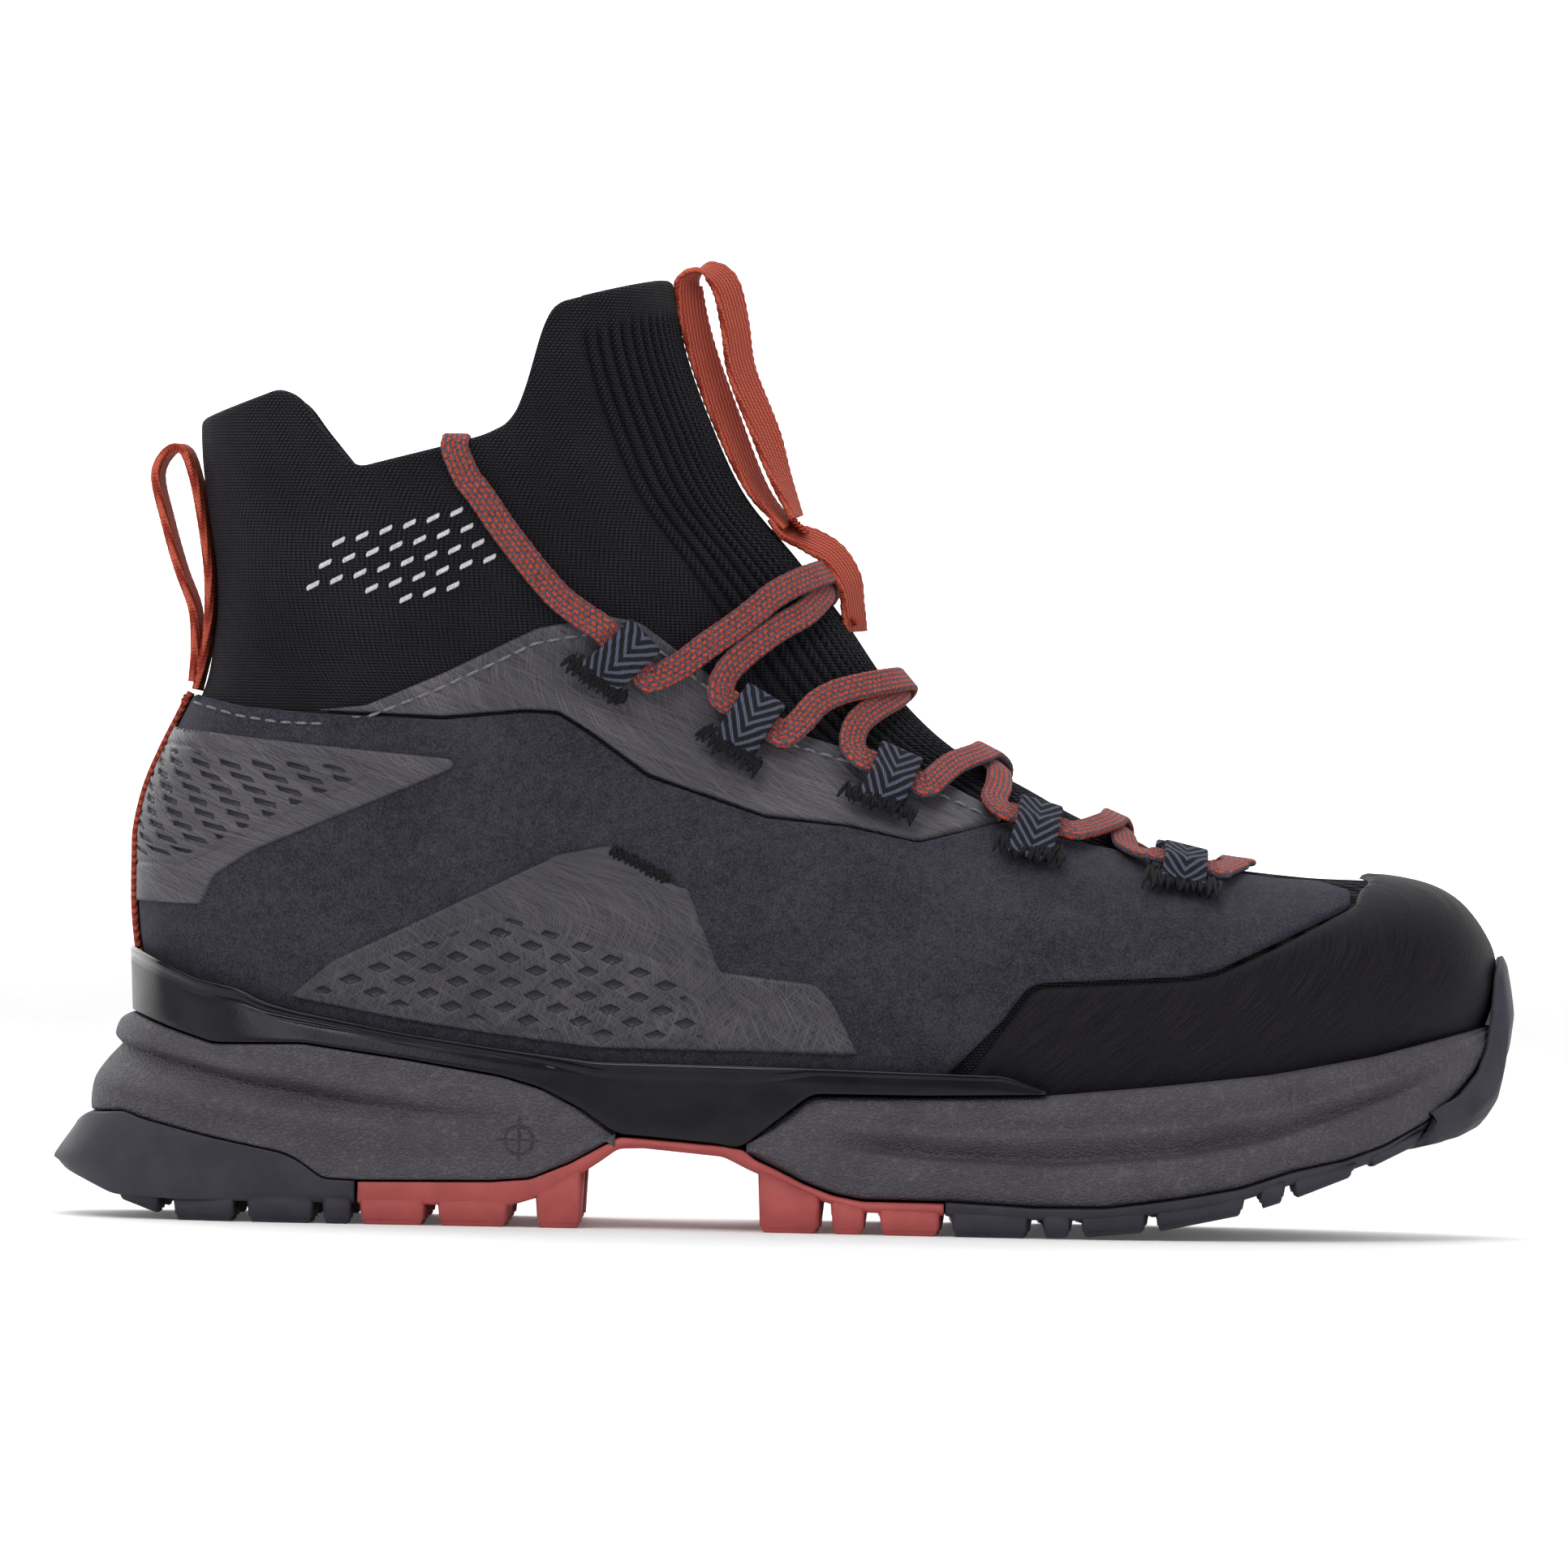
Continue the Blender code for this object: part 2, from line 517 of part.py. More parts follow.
def forefoot_foam(name, grow, finish):
    walls = [(f, side - grow, end - grow) for f, side, end in FORE_WALLS]
    low = grown(FORE_MID_LOW, -grow)
    return slab(name, low, FORE_MID_TOP, (-7.2 - grow, 148.6), 26, walls, finish, False, True)


def heel_outsole():
    walls = [(0, 1.5, 0.6), (0.4, 0, 0), (1, 0.8, 5)]
    top = grown(HEEL_SOLE_TOP, 0.8)
    piece = slab("heel_outsole", HEEL_SOLE_LOW, top, (-153, -88.6), 14, walls, TREAD, True)
    add_lugs(piece, [(-125.9, -114.3), (-110.5, -98)], HEEL_SOLE_LOW)
    cut(piece, heel_foam("cutter", GAP, CUTTER), "DIFFERENCE")
    return piece


def midfoot_outsole():
    walls = [(0, 1.2, 0), (1, 0.4, 0)]
    top = grown(ARCH_TOP, 0.15)
    piece = slab("midfoot_outsole", ARCH_LOW, top, (-88.3, 32.8), 26, walls, RED_RUBBER)
    add_lugs(piece, [(-86, -75), (-71, -58.5), (19.6, 31.6)], ARCH_LOW)
    cut(piece, heel_foam("cutter", GAP, CUTTER), "DIFFERENCE")
    cut(piece, forefoot_foam("cutter", GAP, CUTTER), "DIFFERENCE")
    return piece


def forefoot_outsole():
    top = grown(FORE_MID_LOW, 0.8)
    places = [33.1, 50, 64, 73.8, 80.8, 94, 104.8, 115.6, 124, 133.6, 139.6, 144.4, 148]
    low = [(x, min(float(level(GROUND, x)) + LUG_HEIGHT, float(level(top, x)) - 3)) for x in places]
    walls = [(0, 1.2, 3), (0.5, 0, 0), (1, 0.4, 0.4)]
    piece = slab("forefoot_outsole", low, top, (33.1, 147), 18, walls, TREAD, False, True)
    add_lugs(piece, [(35, 49.6), (61.6, 73.8), (77, 94.2), (105, 117)], low)
    cut(piece, toe_bumper(), "UNION")
    cut(piece, forefoot_foam("cutter", GAP, CUTTER), "DIFFERENCE")
    cut(piece, upper_envelope(), "DIFFERENCE")
    return piece


def toe_line(y, side):
    """How far forward the sole reaches at this distance from its middle."""
    reach = abs(y) / level(SOLE_WIDTH[side], 132)
    return 62 + (148.6 - 62) * rounded(reach, 2.2)


def toe_bumper():
    """The rubber that turns up round the front of the toe."""
    outer = [(120, 15.9), (128, 18.8), (136.6, 23.8), (146.8, 31.4), (151.4, 40.2), (152.4, 47.4),
             (151.4, 53.6), (150.4, 59.2)]
    inner = [(149.2, 59.4), (149.2, 52), (148.2, 43.4), (144.6, 36), (140, 30.2), (134, 25.6),
             (126, 20.8), (120, 18.2)]
    foot, wing, steps = 16, 32, 11
    rings = []
    for y in np.linspace(-wing, wing, steps):
        back = 148.6 - toe_line(y, LATERAL if y < 0 else MEDIAL)
        shrink = 1 - 0.4 * (y / wing) ** 2
        rings.append([(x - back, y + TOE_SHIFT, foot + (z - foot) * shrink) for x, z in outer + inner])
    count = len(rings[0])
    faces = ring_faces(len(rings), count, False)
    for start in (0, (len(rings) - 1) * count):
        faces += facing_quads(start, count)
    return add_mesh("cutter", np.vstack(rings), faces, CUTTER)


def heel_midsole():
    piece = heel_foam("heel_midsole", 0, FOAM)
    cut(piece, upper_envelope(), "DIFFERENCE")
    return piece


def forefoot_midsole():
    piece = forefoot_foam("forefoot_midsole", 0, FOAM)
    cut(piece, upper_envelope(), "DIFFERENCE")
    return piece


def chassis():
    """The stiff frame round the heel and midfoot, open above for the upper."""
    rings = []
    for fraction in (0, 0.55, 1):
        back = -137.2 - fraction
        x = stations(back, 53.5, 32, True, False)
        low = level(CHASSIS_LOW, x) + 0.1
        z = low + (level(CHASSIS_TOP, x) - low) * fraction
        sides = []
        for side in (LATERAL, MEDIAL):
            foot = level(SOLE_WIDTH[side], x) * rounded((-98 - x) / (-98 - back), 2.3) * 0.95
            lip = level(FOOT_WIDTH[side], x) * rounded((-88 - x) / (-88 - back), 2.3) + ENVELOPE + 1.6
            lip = lip * rounded((-130 - x) / (-130 - back), 2)
            width = np.maximum(foot * (1 - fraction) + lip * fraction, lip)
            sides.append(np.stack([x, middle(x) + side * width, z], 1))
        rings.append(np.vstack([sides[0], sides[1][::-1]]))
    piece = ring_slab("chassis", rings, HARD_PLASTIC)
    cut(piece, upper_envelope(), "DIFFERENCE")
    return piece


def loop_frame(k, side):
    """A lace loop's fold line, the lace's middle inside it, and the directions there."""
    sewn, fold = (np.array(p, float) for p in LACE_LOOPS[k])
    low, _ = surface_at(*sewn, side, 0)
    high, _ = surface_at(*fold, side, 0)
    held = fold - (fold - sewn) * LACE_BEHIND_FOLD / np.linalg.norm(high - low)
    base, normal = surface_at(*held, side, 0)
    along = high - base
    along -= normal * along.dot(normal)
    along /= np.linalg.norm(along)
    return sewn, held, base, normal, along


def lace_loop(name, k, side):
    """A folded webbing loop, open where the lace passes through its fold."""
    radius = LACE_THICK / 2 + LOOP_CLEARANCE + LOOP_THICK / 2
    sewn, held, base, normal, along = loop_frame(k, side)
    lace_centre = base + normal * LACE_IN_LOOP
    low = LACE_IN_LOOP - radius
    path = [surface_at(*(sewn + (held - sewn) * d), side, low)[0] for d in (0.15, 0.35)]
    tip = LACE_WIDTH / 2 + 0.3
    path += [lace_centre + along * d - normal * radius for d in (-tip, 0, tip)]
    for degrees in (-60, -30, 0, 30, 60):
        turn = math.radians(degrees)
        path.append(lace_centre + along * (tip + radius * math.cos(turn))
                    + normal * radius * math.sin(turn))
    path += [lace_centre + along * d + normal * radius for d in (tip, 0, -tip)]
    path += [surface_at(*(sewn + (held - sewn) * 0.2), side, low + 1.7)[0],
             surface_at(*sewn, side, low + 1.5)[0]]
    return ribbon(name, path, [np.cross(normal, along)] * len(path), LOOP_WIDTH, LOOP_THICK, WEBBING)


def strand(points, side, heights):
    return [(*to_grid(x, z, side), h) for (x, z), h in zip(points, heights)]


def half_lace(side):
    """From the collar down one side's loops to the bar: surface places, and the loops held."""
    run = strand(COLLAR_RUN[::-1], side, [1.8] * 4)
    loops = []
    for k in range(5):
        _, held, base, normal, along = loop_frame(k, side)
        through = np.cross(normal, along) * side
        loops.append((len(run) + 1, base + normal * LACE_IN_LOOP, normal, through))
        beside = through[[0, 2]] * LACE_BESIDE_LOOP
        run += strand([held - beside, held, held + beside], side, [LACE_IN_LOOP] * 3)
        if k < 4:
            cross = LACE_HIGH if side == LATERAL else LACE_LOW
            run += strand(RISE[k], side, np.linspace(3.6, cross, 4)[1:])
            run.append((0, np.interp(-CROSSING_X[k], -FRONT_CURVE[:, 0], DENSE), cross))
            side = -side
            run += strand(FALL[k], side, np.linspace(cross, 3.6, 4)[1:])
    return run + strand(BAR_SIDE, side, [3, 2.4]), loops


def laced_path(side):
    """Half the lace's middle line from the collar to the bar, and its facing directions."""
    run, loops = half_lace(side)
    run.append((0, np.interp(-BAR_X, -FRONT_CURVE[:, 0], DENSE), LACE_BAR))
    t = spline(np.array(run, float), np.linspace(0, 1, 2 * len(run) - 1))
    path, facing = off_surface(t[:, 0], t[:, 1], t[:, 2])
    for index, centre, normal, through in loops:
        for step, d in enumerate((-LACE_BESIDE_LOOP, -LACE_STRAIGHT, 0, LACE_STRAIGHT, LACE_BESIDE_LOOP)):
            path[2 * index + step - 2] = centre + through * d
            facing[2 * index + step - 2] = normal
    return path, facing


def lace_tail(side):
    """From inside the shaft up over the rim."""
    places, facing = [], []
    for x, z in INSIDE_RUN[::-1]:
        place, normal = surface_at(x, z, side, LACE_INSIDE)
        places.append(place)
        facing.append(-normal)
    for out, lift, lean in OVER_RIM[::-1]:
        place, normal = surface_at(RIM_X, level(RIM, RIM_X), side, out)
        places.append(place + np.array([0, 0, lift]))
        facing.append(normal * lean + np.array([0, 0, 1 - abs(lean)]))
    return np.array(places), np.array(facing)


def lace():
    """One flat lace along its whole route through the ten loops and over the rim."""
    halves = []
    for side in (MEDIAL, LATERAL):
        tail, tail_facing = lace_tail(side)
        path, facing = laced_path(side)
        halves.append((np.concatenate([tail, path]), np.concatenate([tail_facing, facing])))
    (first, first_facing), (second, second_facing) = halves
    path = np.concatenate([first, second[-2::-1]])
    facing = np.concatenate([first_facing, second_facing[-2::-1]])
    across = np.cross(np.gradient(path, axis=0), facing)
    return ribbon("lace", path, across, LACE_WIDTH, LACE_THICK, LACE)


def webbing(name, line, pivot):
    """A red strap in the boot's middle plane, its origin at pivot."""
    path = spline(line, np.linspace(0, 1, 2 * len(line) - 1))
    path = np.stack([path[:, 0], np.zeros(len(path)), path[:, 1]], 1)
    piece = ribbon(name, path, [(0, 1, 0)] * len(path), WEBBING_WIDTH, WEBBING_THICK, RED_WEBBING)
    set_origin(piece, (pivot[0], 0, pivot[1]))
    return piece


def set_origin(piece, point):
    place = Vector([(c + o) * MM for c, o in zip(point, CENTRE)])
    piece.data.transform(Matrix.Translation(-place))
    piece.location = place


def heel_tape():
    outline = [(-150, 58.5), (-110, 58.5), (-110, 107.6), (-150, 107.6)]
    return shell("heel_tape", outline, TAPE, RED_WEBBING, -4.8, 4.8)


def footbed():
    piece = foot_plate("footbed", 5.6, 6.2, FOOTBED_THICK, FOAM)
    set_origin(piece, FOOTBED_PIVOT)
    return piece


def build_boot():
    sock("knit_upper", ROWS, 0, 1.2, 2.4, KNIT)
    sock("lining", int(ROWS * 0.7), 3.0, 4.2, 0, LINING)
    shell("heel_counter", COUNTER, INNER, BOARD)
    shell("toe_puff", TOE_CAP, INNER, BOARD)
    foot_plate("insole_board", 1, -0.3 - BOARD_THICK, BOARD_THICK, BOARD)
    footbed()
    shell("suede_overlay", SUEDE, SKIN, SUEDE_FINISH)
    shell("toe_rand", RAND, SKIN, RUBBER_FILM)
    for word, side in (("lateral", LATERAL), ("medial", MEDIAL)):
        near, far = sorted((side * 1.0, side * 90))
        shell(f"top_quarter_{word}", TOP_QUARTER, TOP_PANEL, FILM_FINISH, near, far)
        shell(f"mid_window_{word}", MID_WINDOW, FILM, FILM_FINISH, near, far)
        near, far = sorted((side * 6.0, side * 90))
        shell(f"heel_window_{word}", HEEL_WINDOW, FILM, FILM_FINISH, near, far)
        for k in range(len(LACE_LOOPS)):
            lace_loop(f"lace_loop_{word}_{k + 1}", k, side)
    chassis()
    heel_midsole()
    forefoot_midsole()
    heel_outsole()
    midfoot_outsole()
    forefoot_outsole()
    heel_tape()
    lace()
    webbing("heel_pull_loop", HEEL_LOOP, HEEL_PIVOT)
    webbing("tongue_pull_loop", TONGUE_LOOP, TONGUE_PIVOT)
    webbing("lace_keeper", KEEPER, KEEPER[0])


clear_scene()
CUTTER = material("cutter", (1, 0, 1), 0.5)
KNIT = material("black_knit", (0.02, 0.02, 0.025), 0.9)
LINING = material("lining_mesh", (0.03, 0.03, 0.035), 0.9)
BOARD = material("fibre_board", (0.35, 0.33, 0.3), 0.8)
SUEDE_FINISH = material("slate_suede", (0.06, 0.065, 0.085), 0.95)
RUBBER_FILM = material("black_film", (0.02, 0.02, 0.022), 0.6)
FILM_FINISH = material("grey_film", (0.1, 0.1, 0.11), 0.6)
HARD_PLASTIC = material("black_plastic", (0.015, 0.015, 0.02), 0.35)
FOAM = material("grey_foam", (0.17, 0.16, 0.18), 0.75)
TREAD = material("dark_rubber", (0.03, 0.033, 0.045), 0.7)
RED_RUBBER = material("red_rubber", (0.48, 0.08, 0.08), 0.65)
WEBBING = material("slate_webbing", (0.08, 0.085, 0.12), 0.85)
RED_WEBBING = material("red_webbing", (0.5, 0.07, 0.04), 0.8)
LACE = material("woven_lace", (0.45, 0.12, 0.1), 0.8)
build_boot()
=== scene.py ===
"""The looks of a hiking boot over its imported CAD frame.

Lengths are millimetres in the boot's side view, X to the toe and Z up, and become metres in add_piece.
The upper is one surface: a turn from the toe, negative on the outer side, and a row from sole to rim.
"""

import math

import bmesh
import bpy
import numpy as np
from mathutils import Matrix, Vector, kdtree
from mathutils.geometry import delaunay_2d_cdt


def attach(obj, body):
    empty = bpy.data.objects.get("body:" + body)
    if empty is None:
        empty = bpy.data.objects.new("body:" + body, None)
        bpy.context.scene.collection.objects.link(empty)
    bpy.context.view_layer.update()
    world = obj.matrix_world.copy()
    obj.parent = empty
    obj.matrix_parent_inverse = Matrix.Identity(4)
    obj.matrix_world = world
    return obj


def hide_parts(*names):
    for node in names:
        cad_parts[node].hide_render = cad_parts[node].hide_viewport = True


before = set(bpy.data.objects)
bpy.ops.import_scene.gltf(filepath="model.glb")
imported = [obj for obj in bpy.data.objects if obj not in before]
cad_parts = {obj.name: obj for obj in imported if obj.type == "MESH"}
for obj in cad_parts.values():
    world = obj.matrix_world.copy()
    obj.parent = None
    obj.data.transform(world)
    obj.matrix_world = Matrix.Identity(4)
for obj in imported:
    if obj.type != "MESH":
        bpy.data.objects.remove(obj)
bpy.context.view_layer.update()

MM = 0.001
CENTRE = np.array([0.3, 1.99, 0])
LATERAL, MEDIAL = -1, 1
SIDES = {"lateral": LATERAL, "medial": MEDIAL}
GAP, TINY = 0.3, 1e-6
TURN_STEP, ROW_STEP = 0.03, 0.006
rng = np.random.default_rng(7)

# Upper surface, as the frame's knit has it.
FRONT_LINE = [(141, 38), (145, 46), (146.8, 54), (145.6, 61.5), (138.5, 70.3), (127, 74.2),
              (106, 75.2), (83, 78.2), (62.8, 85.5), (48.4, 93), (33.3, 101), (21, 112.5),
              (10.7, 126.7), (0, 140), (-11, 153), (-18.7, 168.7), (-24, 183), (-26.7, 196)]
BACK_LINE = [(-129, 36), (-132, 48), (-134, 57), (-134.8, 64), (-135, 70), (-135, 75.5),
             (-134.8, 81), (-133, 89), (-130, 96.5), (-126.4, 104), (-123.2, 111),
             (-121.8, 118.5), (-121, 127), (-121.4, 136), (-123, 146), (-124.4, 155.5),
             (-125, 163), (-125, 170)]
ROW_SAG = [13, 8, 4, 1.5] + [0] * 14
RIM = [(-125.5, 165), (-108.7, 171), (-104, 169.3), (-100, 164), (-92.7, 155.6), (-91.3, 154.9),
       (-74.7, 159.3), (-65.3, 162), (-60, 164.7), (-57.3, 170), (-54, 183.3), (-52.7, 187.3),
       (-49.3, 190.3), (-40, 193.3), (-26.7, 196), (200, 196)]
FOOT_WIDTH = {
    LATERAL: [(-140, 34), (-96, 34.5), (-50, 37), (0, 45), (40, 50), (60, 51), (90, 51), (148, 48)],
    MEDIAL: [(-140, 33), (-96, 32), (-50, 30), (0, 35), (40, 44), (60, 47), (90, 48), (148, 47)],
}
SHAFT_WIDTH = [(60, 33), (115, 33), (130, 34), (150, 35.5), (170, 37), (196, 38)]
TOE_TIP, TOE_START, TOE_SHIFT = 146.8, 60, 4
WIDEST_Z, TUCK_Z, COLLAR_Z, HEEL_CENTRE_X = 48, 54, 196, -85
BEHIND_FALL = 0.00024
TOE_POWER, SECTION_POWER = 2.2, 2.3


def smoothstep(low, high, x):
    t = np.clip((x - low) / (high - low), 0, 1)
    return t * t * (3 - 2 * t)


def unit(vectors):
    """Each row at length 1."""
    return vectors / np.linalg.norm(vectors, axis=1, keepdims=True)


def level(keys, x):
    """The value at x on the line through keys."""
    return np.interp(x, [k[0] for k in keys], [k[1] for k in keys])


def soft_level(keys, x, reach=1.5):
    """The line through keys with its corners rounded off."""
    return sum(level(keys, x + reach * d) for d in (-1, -0.5, 0, 0.5, 1)) / 5


def spline(points, t):
    """A smooth curve through points, evenly numbered from 0 to 1, at each t."""
    p = np.array(points, float)
    p = np.vstack([2 * p[:1] - p[1:2], p, 2 * p[-1:] - p[-2:-1]])
    last = len(points) - 1
    at = np.clip(np.atleast_1d(t), 0, 1) * last
    i = np.minimum(at.astype(int), last - 1)
    f = (at - i)[:, None]
    a, b, c, d = p[i], p[i + 1], p[i + 2], p[i + 3]
    return 0.5 * (2 * b + (c - a) * f + (2 * a - 5 * b + 4 * c - d) * f**2
                  + (3 * b - a - 3 * c + d) * f**3)


DENSE = np.linspace(0, 1, 400)
FRONT_CURVE = spline(FRONT_LINE, DENSE)
BACK_CURVE = spline(BACK_LINE, DENSE)
RIDGE = FRONT_CURVE[FRONT_CURVE[:, 1] > WIDEST_Z + 5][::-1]


def one_over_height(x):
    """One over the ridge's height above the widest level, falling to 0 behind the shaft's front."""
    top = 1 / (np.interp(x, RIDGE[:, 0], RIDGE[:, 1]) - WIDEST_Z)
    behind = np.clip(1 / (COLLAR_Z - WIDEST_Z) - BEHIND_FALL * (RIDGE[0, 0] - x), 0, None)
    return np.where(x < RIDGE[0, 0], behind, top)


def rounded(fraction, power):
    """How wide a rounded end still is, from 1 at its start to 0 at its tip."""
    return (1 - np.clip(fraction, 0, 1) ** power) ** (1 / power)


def half_width(x, z, side):
    """The knit's distance from the middle plane, before the toe's shift."""
    tuck = np.where(z < TUCK_Z, TOE_TIP - np.interp(z, FRONT_CURVE[:80, 1], FRONT_CURVE[:80, 0]), 0)
    foot = level(FOOT_WIDTH[side], x) * rounded((x + tuck - TOE_START) / (TOE_TIP - TOE_START), TOE_POWER)
    narrowing = np.maximum(foot - level(SHAFT_WIDTH, z), 0) * smoothstep(60, 115, z)
    width = (foot - narrowing) * rounded((z - WIDEST_Z) * one_over_height(x), SECTION_POWER)
    back = np.interp(z, BACK_CURVE[:, 1], BACK_CURVE[:, 0])
    width = width * rounded((HEEL_CENTRE_X - x) / (HEEL_CENTRE_X - back), SECTION_POWER)
    return width * (1 - 0.05 * (np.maximum(WIDEST_Z - z, 0) / 20) ** 2)


def middle(x):
    """How far the middle line leans towards the medial side near the toe."""
    return TOE_SHIFT * smoothstep(TOE_START, TOE_TIP, x)


def row_height(front_z, back_z, s, v):
    """The height of row v at share s of the way from back to front."""
    sag = np.interp(v, np.linspace(0, 1, len(ROW_SAG)), ROW_SAG)
    return back_z + (front_z - back_z) * s - sag * np.sin(np.pi * s**1.25)


def from_grid(turn, v):
    """The surface point at a signed turn from the toe and a row, negative on the lateral side."""
    turn, v = np.atleast_1d(turn).astype(float), np.atleast_1d(v).astype(float)
    front, back = spline(FRONT_LINE, v), spline(BACK_LINE, v)
    s = (1 + np.cos(np.minimum(np.abs(turn), math.pi))) / 2
    x = back[:, 0] + (front[:, 0] - back[:, 0]) * s
    z = row_height(front[:, 1], back[:, 1], s, v)
    around = np.where(np.abs(turn) > math.pi, -np.sign(turn), np.sign(turn))
    sides = np.where(around < 0, half_width(x, z, LATERAL), half_width(x, z, MEDIAL))
    return np.stack([x, middle(x) + around * sides, z], 1)


def to_grid(x, z, side):
    """Where a side point lies on the surface: its signed turn from the toe, and its row."""
    front, back = FRONT_CURVE, BACK_CURVE
    s = np.clip((x - back[:, 0]) / (front[:, 0] - back[:, 0]), 0, 1)
    heights = row_height(front[:, 1], back[:, 1], s, DENSE)
    usable = (s < 1) | (heights < z)
    v = np.interp(z, heights[usable], DENSE[usable])
    return side * np.interp(v, DENSE, np.arccos(2 * s - 1)), v


def off_surface(turn, v, out):
    """Points at distances out from the surface, and the outward directions there."""
    around = from_grid(turn + TURN_STEP, v) - from_grid(turn - TURN_STEP, v)
    around[:, 1] += TINY
    up = from_grid(turn, v + ROW_STEP) - from_grid(turn, v - ROW_STEP)
    normal = np.cross(around, up)
    normal = unit(normal)
    return from_grid(turn, v) + normal * np.atleast_1d(out)[:, None], normal


def surface_at(x, z, side, out):
    """The point at a distance out from the surface at a side place, and the direction out."""
    turn, v = to_grid(x, z, side)
    points, normals = off_surface(np.array([turn]), np.array([v]), out)
    return points[0], normals[0]


ARC_TURNS, ARC_ROWS = np.linspace(0, math.pi, 241), np.linspace(0, 1, 81)


def arc_table(side):
    turns, rows = np.meshgrid(ARC_TURNS, ARC_ROWS)
    points = from_grid(side * turns.ravel(), rows.ravel()).reshape(*turns.shape, 3)
    steps = np.linalg.norm(np.diff(points, axis=1), axis=2)
    return np.concatenate([np.zeros((len(steps), 1)), np.cumsum(steps, 1)], 1)


ARCS = {side: arc_table(side) for side in (LATERAL, MEDIAL)}


def arc_from_toe(turn, v):
    """How far round the boot from its front line a place is, negative on the lateral side."""
    column = np.clip(np.abs(turn) / ARC_TURNS[-1] * (len(ARC_TURNS) - 1), 0, len(ARC_TURNS) - 1.001)
    row = np.clip(v * (len(ARC_ROWS) - 1), 0, len(ARC_ROWS) - 1.001)
    i, j = column.astype(int), row.astype(int)
    a, b = column - i, row - j
    found = {}
    for side, table in ARCS.items():
        low = table[j, i] * (1 - a) + table[j, i + 1] * a
        high = table[j + 1, i] * (1 - a) + table[j + 1, i + 1] * a
        found[side] = low * (1 - b) + high * b
    return np.where(turn < 0, -found[LATERAL], found[MEDIAL])


# Making pieces.

def add_piece(name, vertices, faces, look, nodes=(), body="boot", slot=None, flat=None, shade_values=None):
    """A mesh from millimetre points that rides on a body and stands for CAD nodes."""
    mesh = bpy.data.meshes.new(name)
    mesh.from_pydata(((np.asarray(vertices, float) + CENTRE) * MM).tolist(), [], faces)
    if flat is not None:
        layer = mesh.uv_layers.new(name="flat")
        corners = np.zeros(len(mesh.loops), int)
        mesh.loops.foreach_get("vertex_index", corners)
        layer.data.foreach_set("uv", (np.asarray(flat, float)[corners] * MM).ravel())
    # shade_values become the 'shade' attribute that the finishes read for painted shade.
    if shade_values is not None:
        shade = mesh.attributes.new("shade", "FLOAT", "POINT")
        shade.data.foreach_set("value", np.asarray(shade_values, float))
    work = bmesh.new()
    work.from_mesh(mesh)
    bmesh.ops.recalc_face_normals(work, faces=work.faces)
    for face in work.faces:
        face.smooth = True
    work.to_mesh(mesh)
    work.free()
    mesh.materials.append(look)
    piece = bpy.data.objects.new(name, mesh)
    bpy.context.scene.collection.objects.link(piece)
    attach(piece, body)
    if nodes:
        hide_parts(*nodes)
    return piece


def grid_faces(rows, columns, closed=False, start=0):
    """Quads between neighbouring rows of a grid, joined round if closed."""
    across = columns if closed else columns - 1
    j, i = np.meshgrid(np.arange(rows - 1), np.arange(across), indexing="ij")
    k = (i + 1) % columns
    quads = np.stack([j * columns + i, j * columns + k, (j + 1) * columns + k, (j + 1) * columns + i], -1)
    return (quads.reshape(-1, 4) + start).tolist()


def capped_faces(rows, columns):
    """A closed wall's quads, and one face over each end."""
    ends = [list(range(columns)), list(range((rows - 1) * columns, rows * columns))]
    return grid_faces(rows, columns, True) + ends


def distances(points, line):
    """How far each point is from the nearest of a line's points, in the plane or in space."""
    tree = kdtree.KDTree(len(line))
    for i, p in enumerate(line):
        tree.insert((*p, 0)[:3], i)
    tree.balance()
    return np.array([tree.find((*p, 0)[:3])[2] for p in points])


def fill_in(points, step, closed):
    """Points added along a line so that none are further apart than step, its corners rounded."""
    p = np.array(points, float)
    ends = np.vstack([p, p[:1]]) if closed else p
    filled = []
    for a, b in zip(ends, ends[1:]):
        count = max(1, math.ceil(np.linalg.norm(b - a) / step))
        filled += [a + (b - a) * i / count for i in range(count)]
    if not closed:
        filled.append(ends[-1])
    filled = np.array(filled)
    for _ in range(2):
        smooth = (np.roll(filled, 1, 0) + 2 * filled + np.roll(filled, -1, 0)) / 4
        if not closed:
            smooth[[0, -1]] = filled[[0, -1]]
        filled = smooth
    return filled


def on_side(points, side, step=0.8, closed=True):
    """A side outline as signed turns and rows."""
    return np.array([to_grid(x, z, side) for x, z in fill_in(points, step, closed)])


def inside(polygon, points):
    """Which points lie inside a polygon."""
    a, b = polygon, np.roll(polygon, -1, 0)
    x, y = points[:, :1], points[:, 1:]
    crosses = (a[:, 1] > y) != (b[:, 1] > y)
    rise = np.where(b[:, 1] == a[:, 1], 1e-9, b[:, 1] - a[:, 1])
    at = a[:, 0] + (y - a[:, 1]) * (b[:, 0] - a[:, 0]) / rise
    return (crosses & (x < at)).sum(1) % 2 == 1


PANEL_SCALE = np.array([95.0, 150.0])
EDGE_RINGS = (0.25, 0.75)


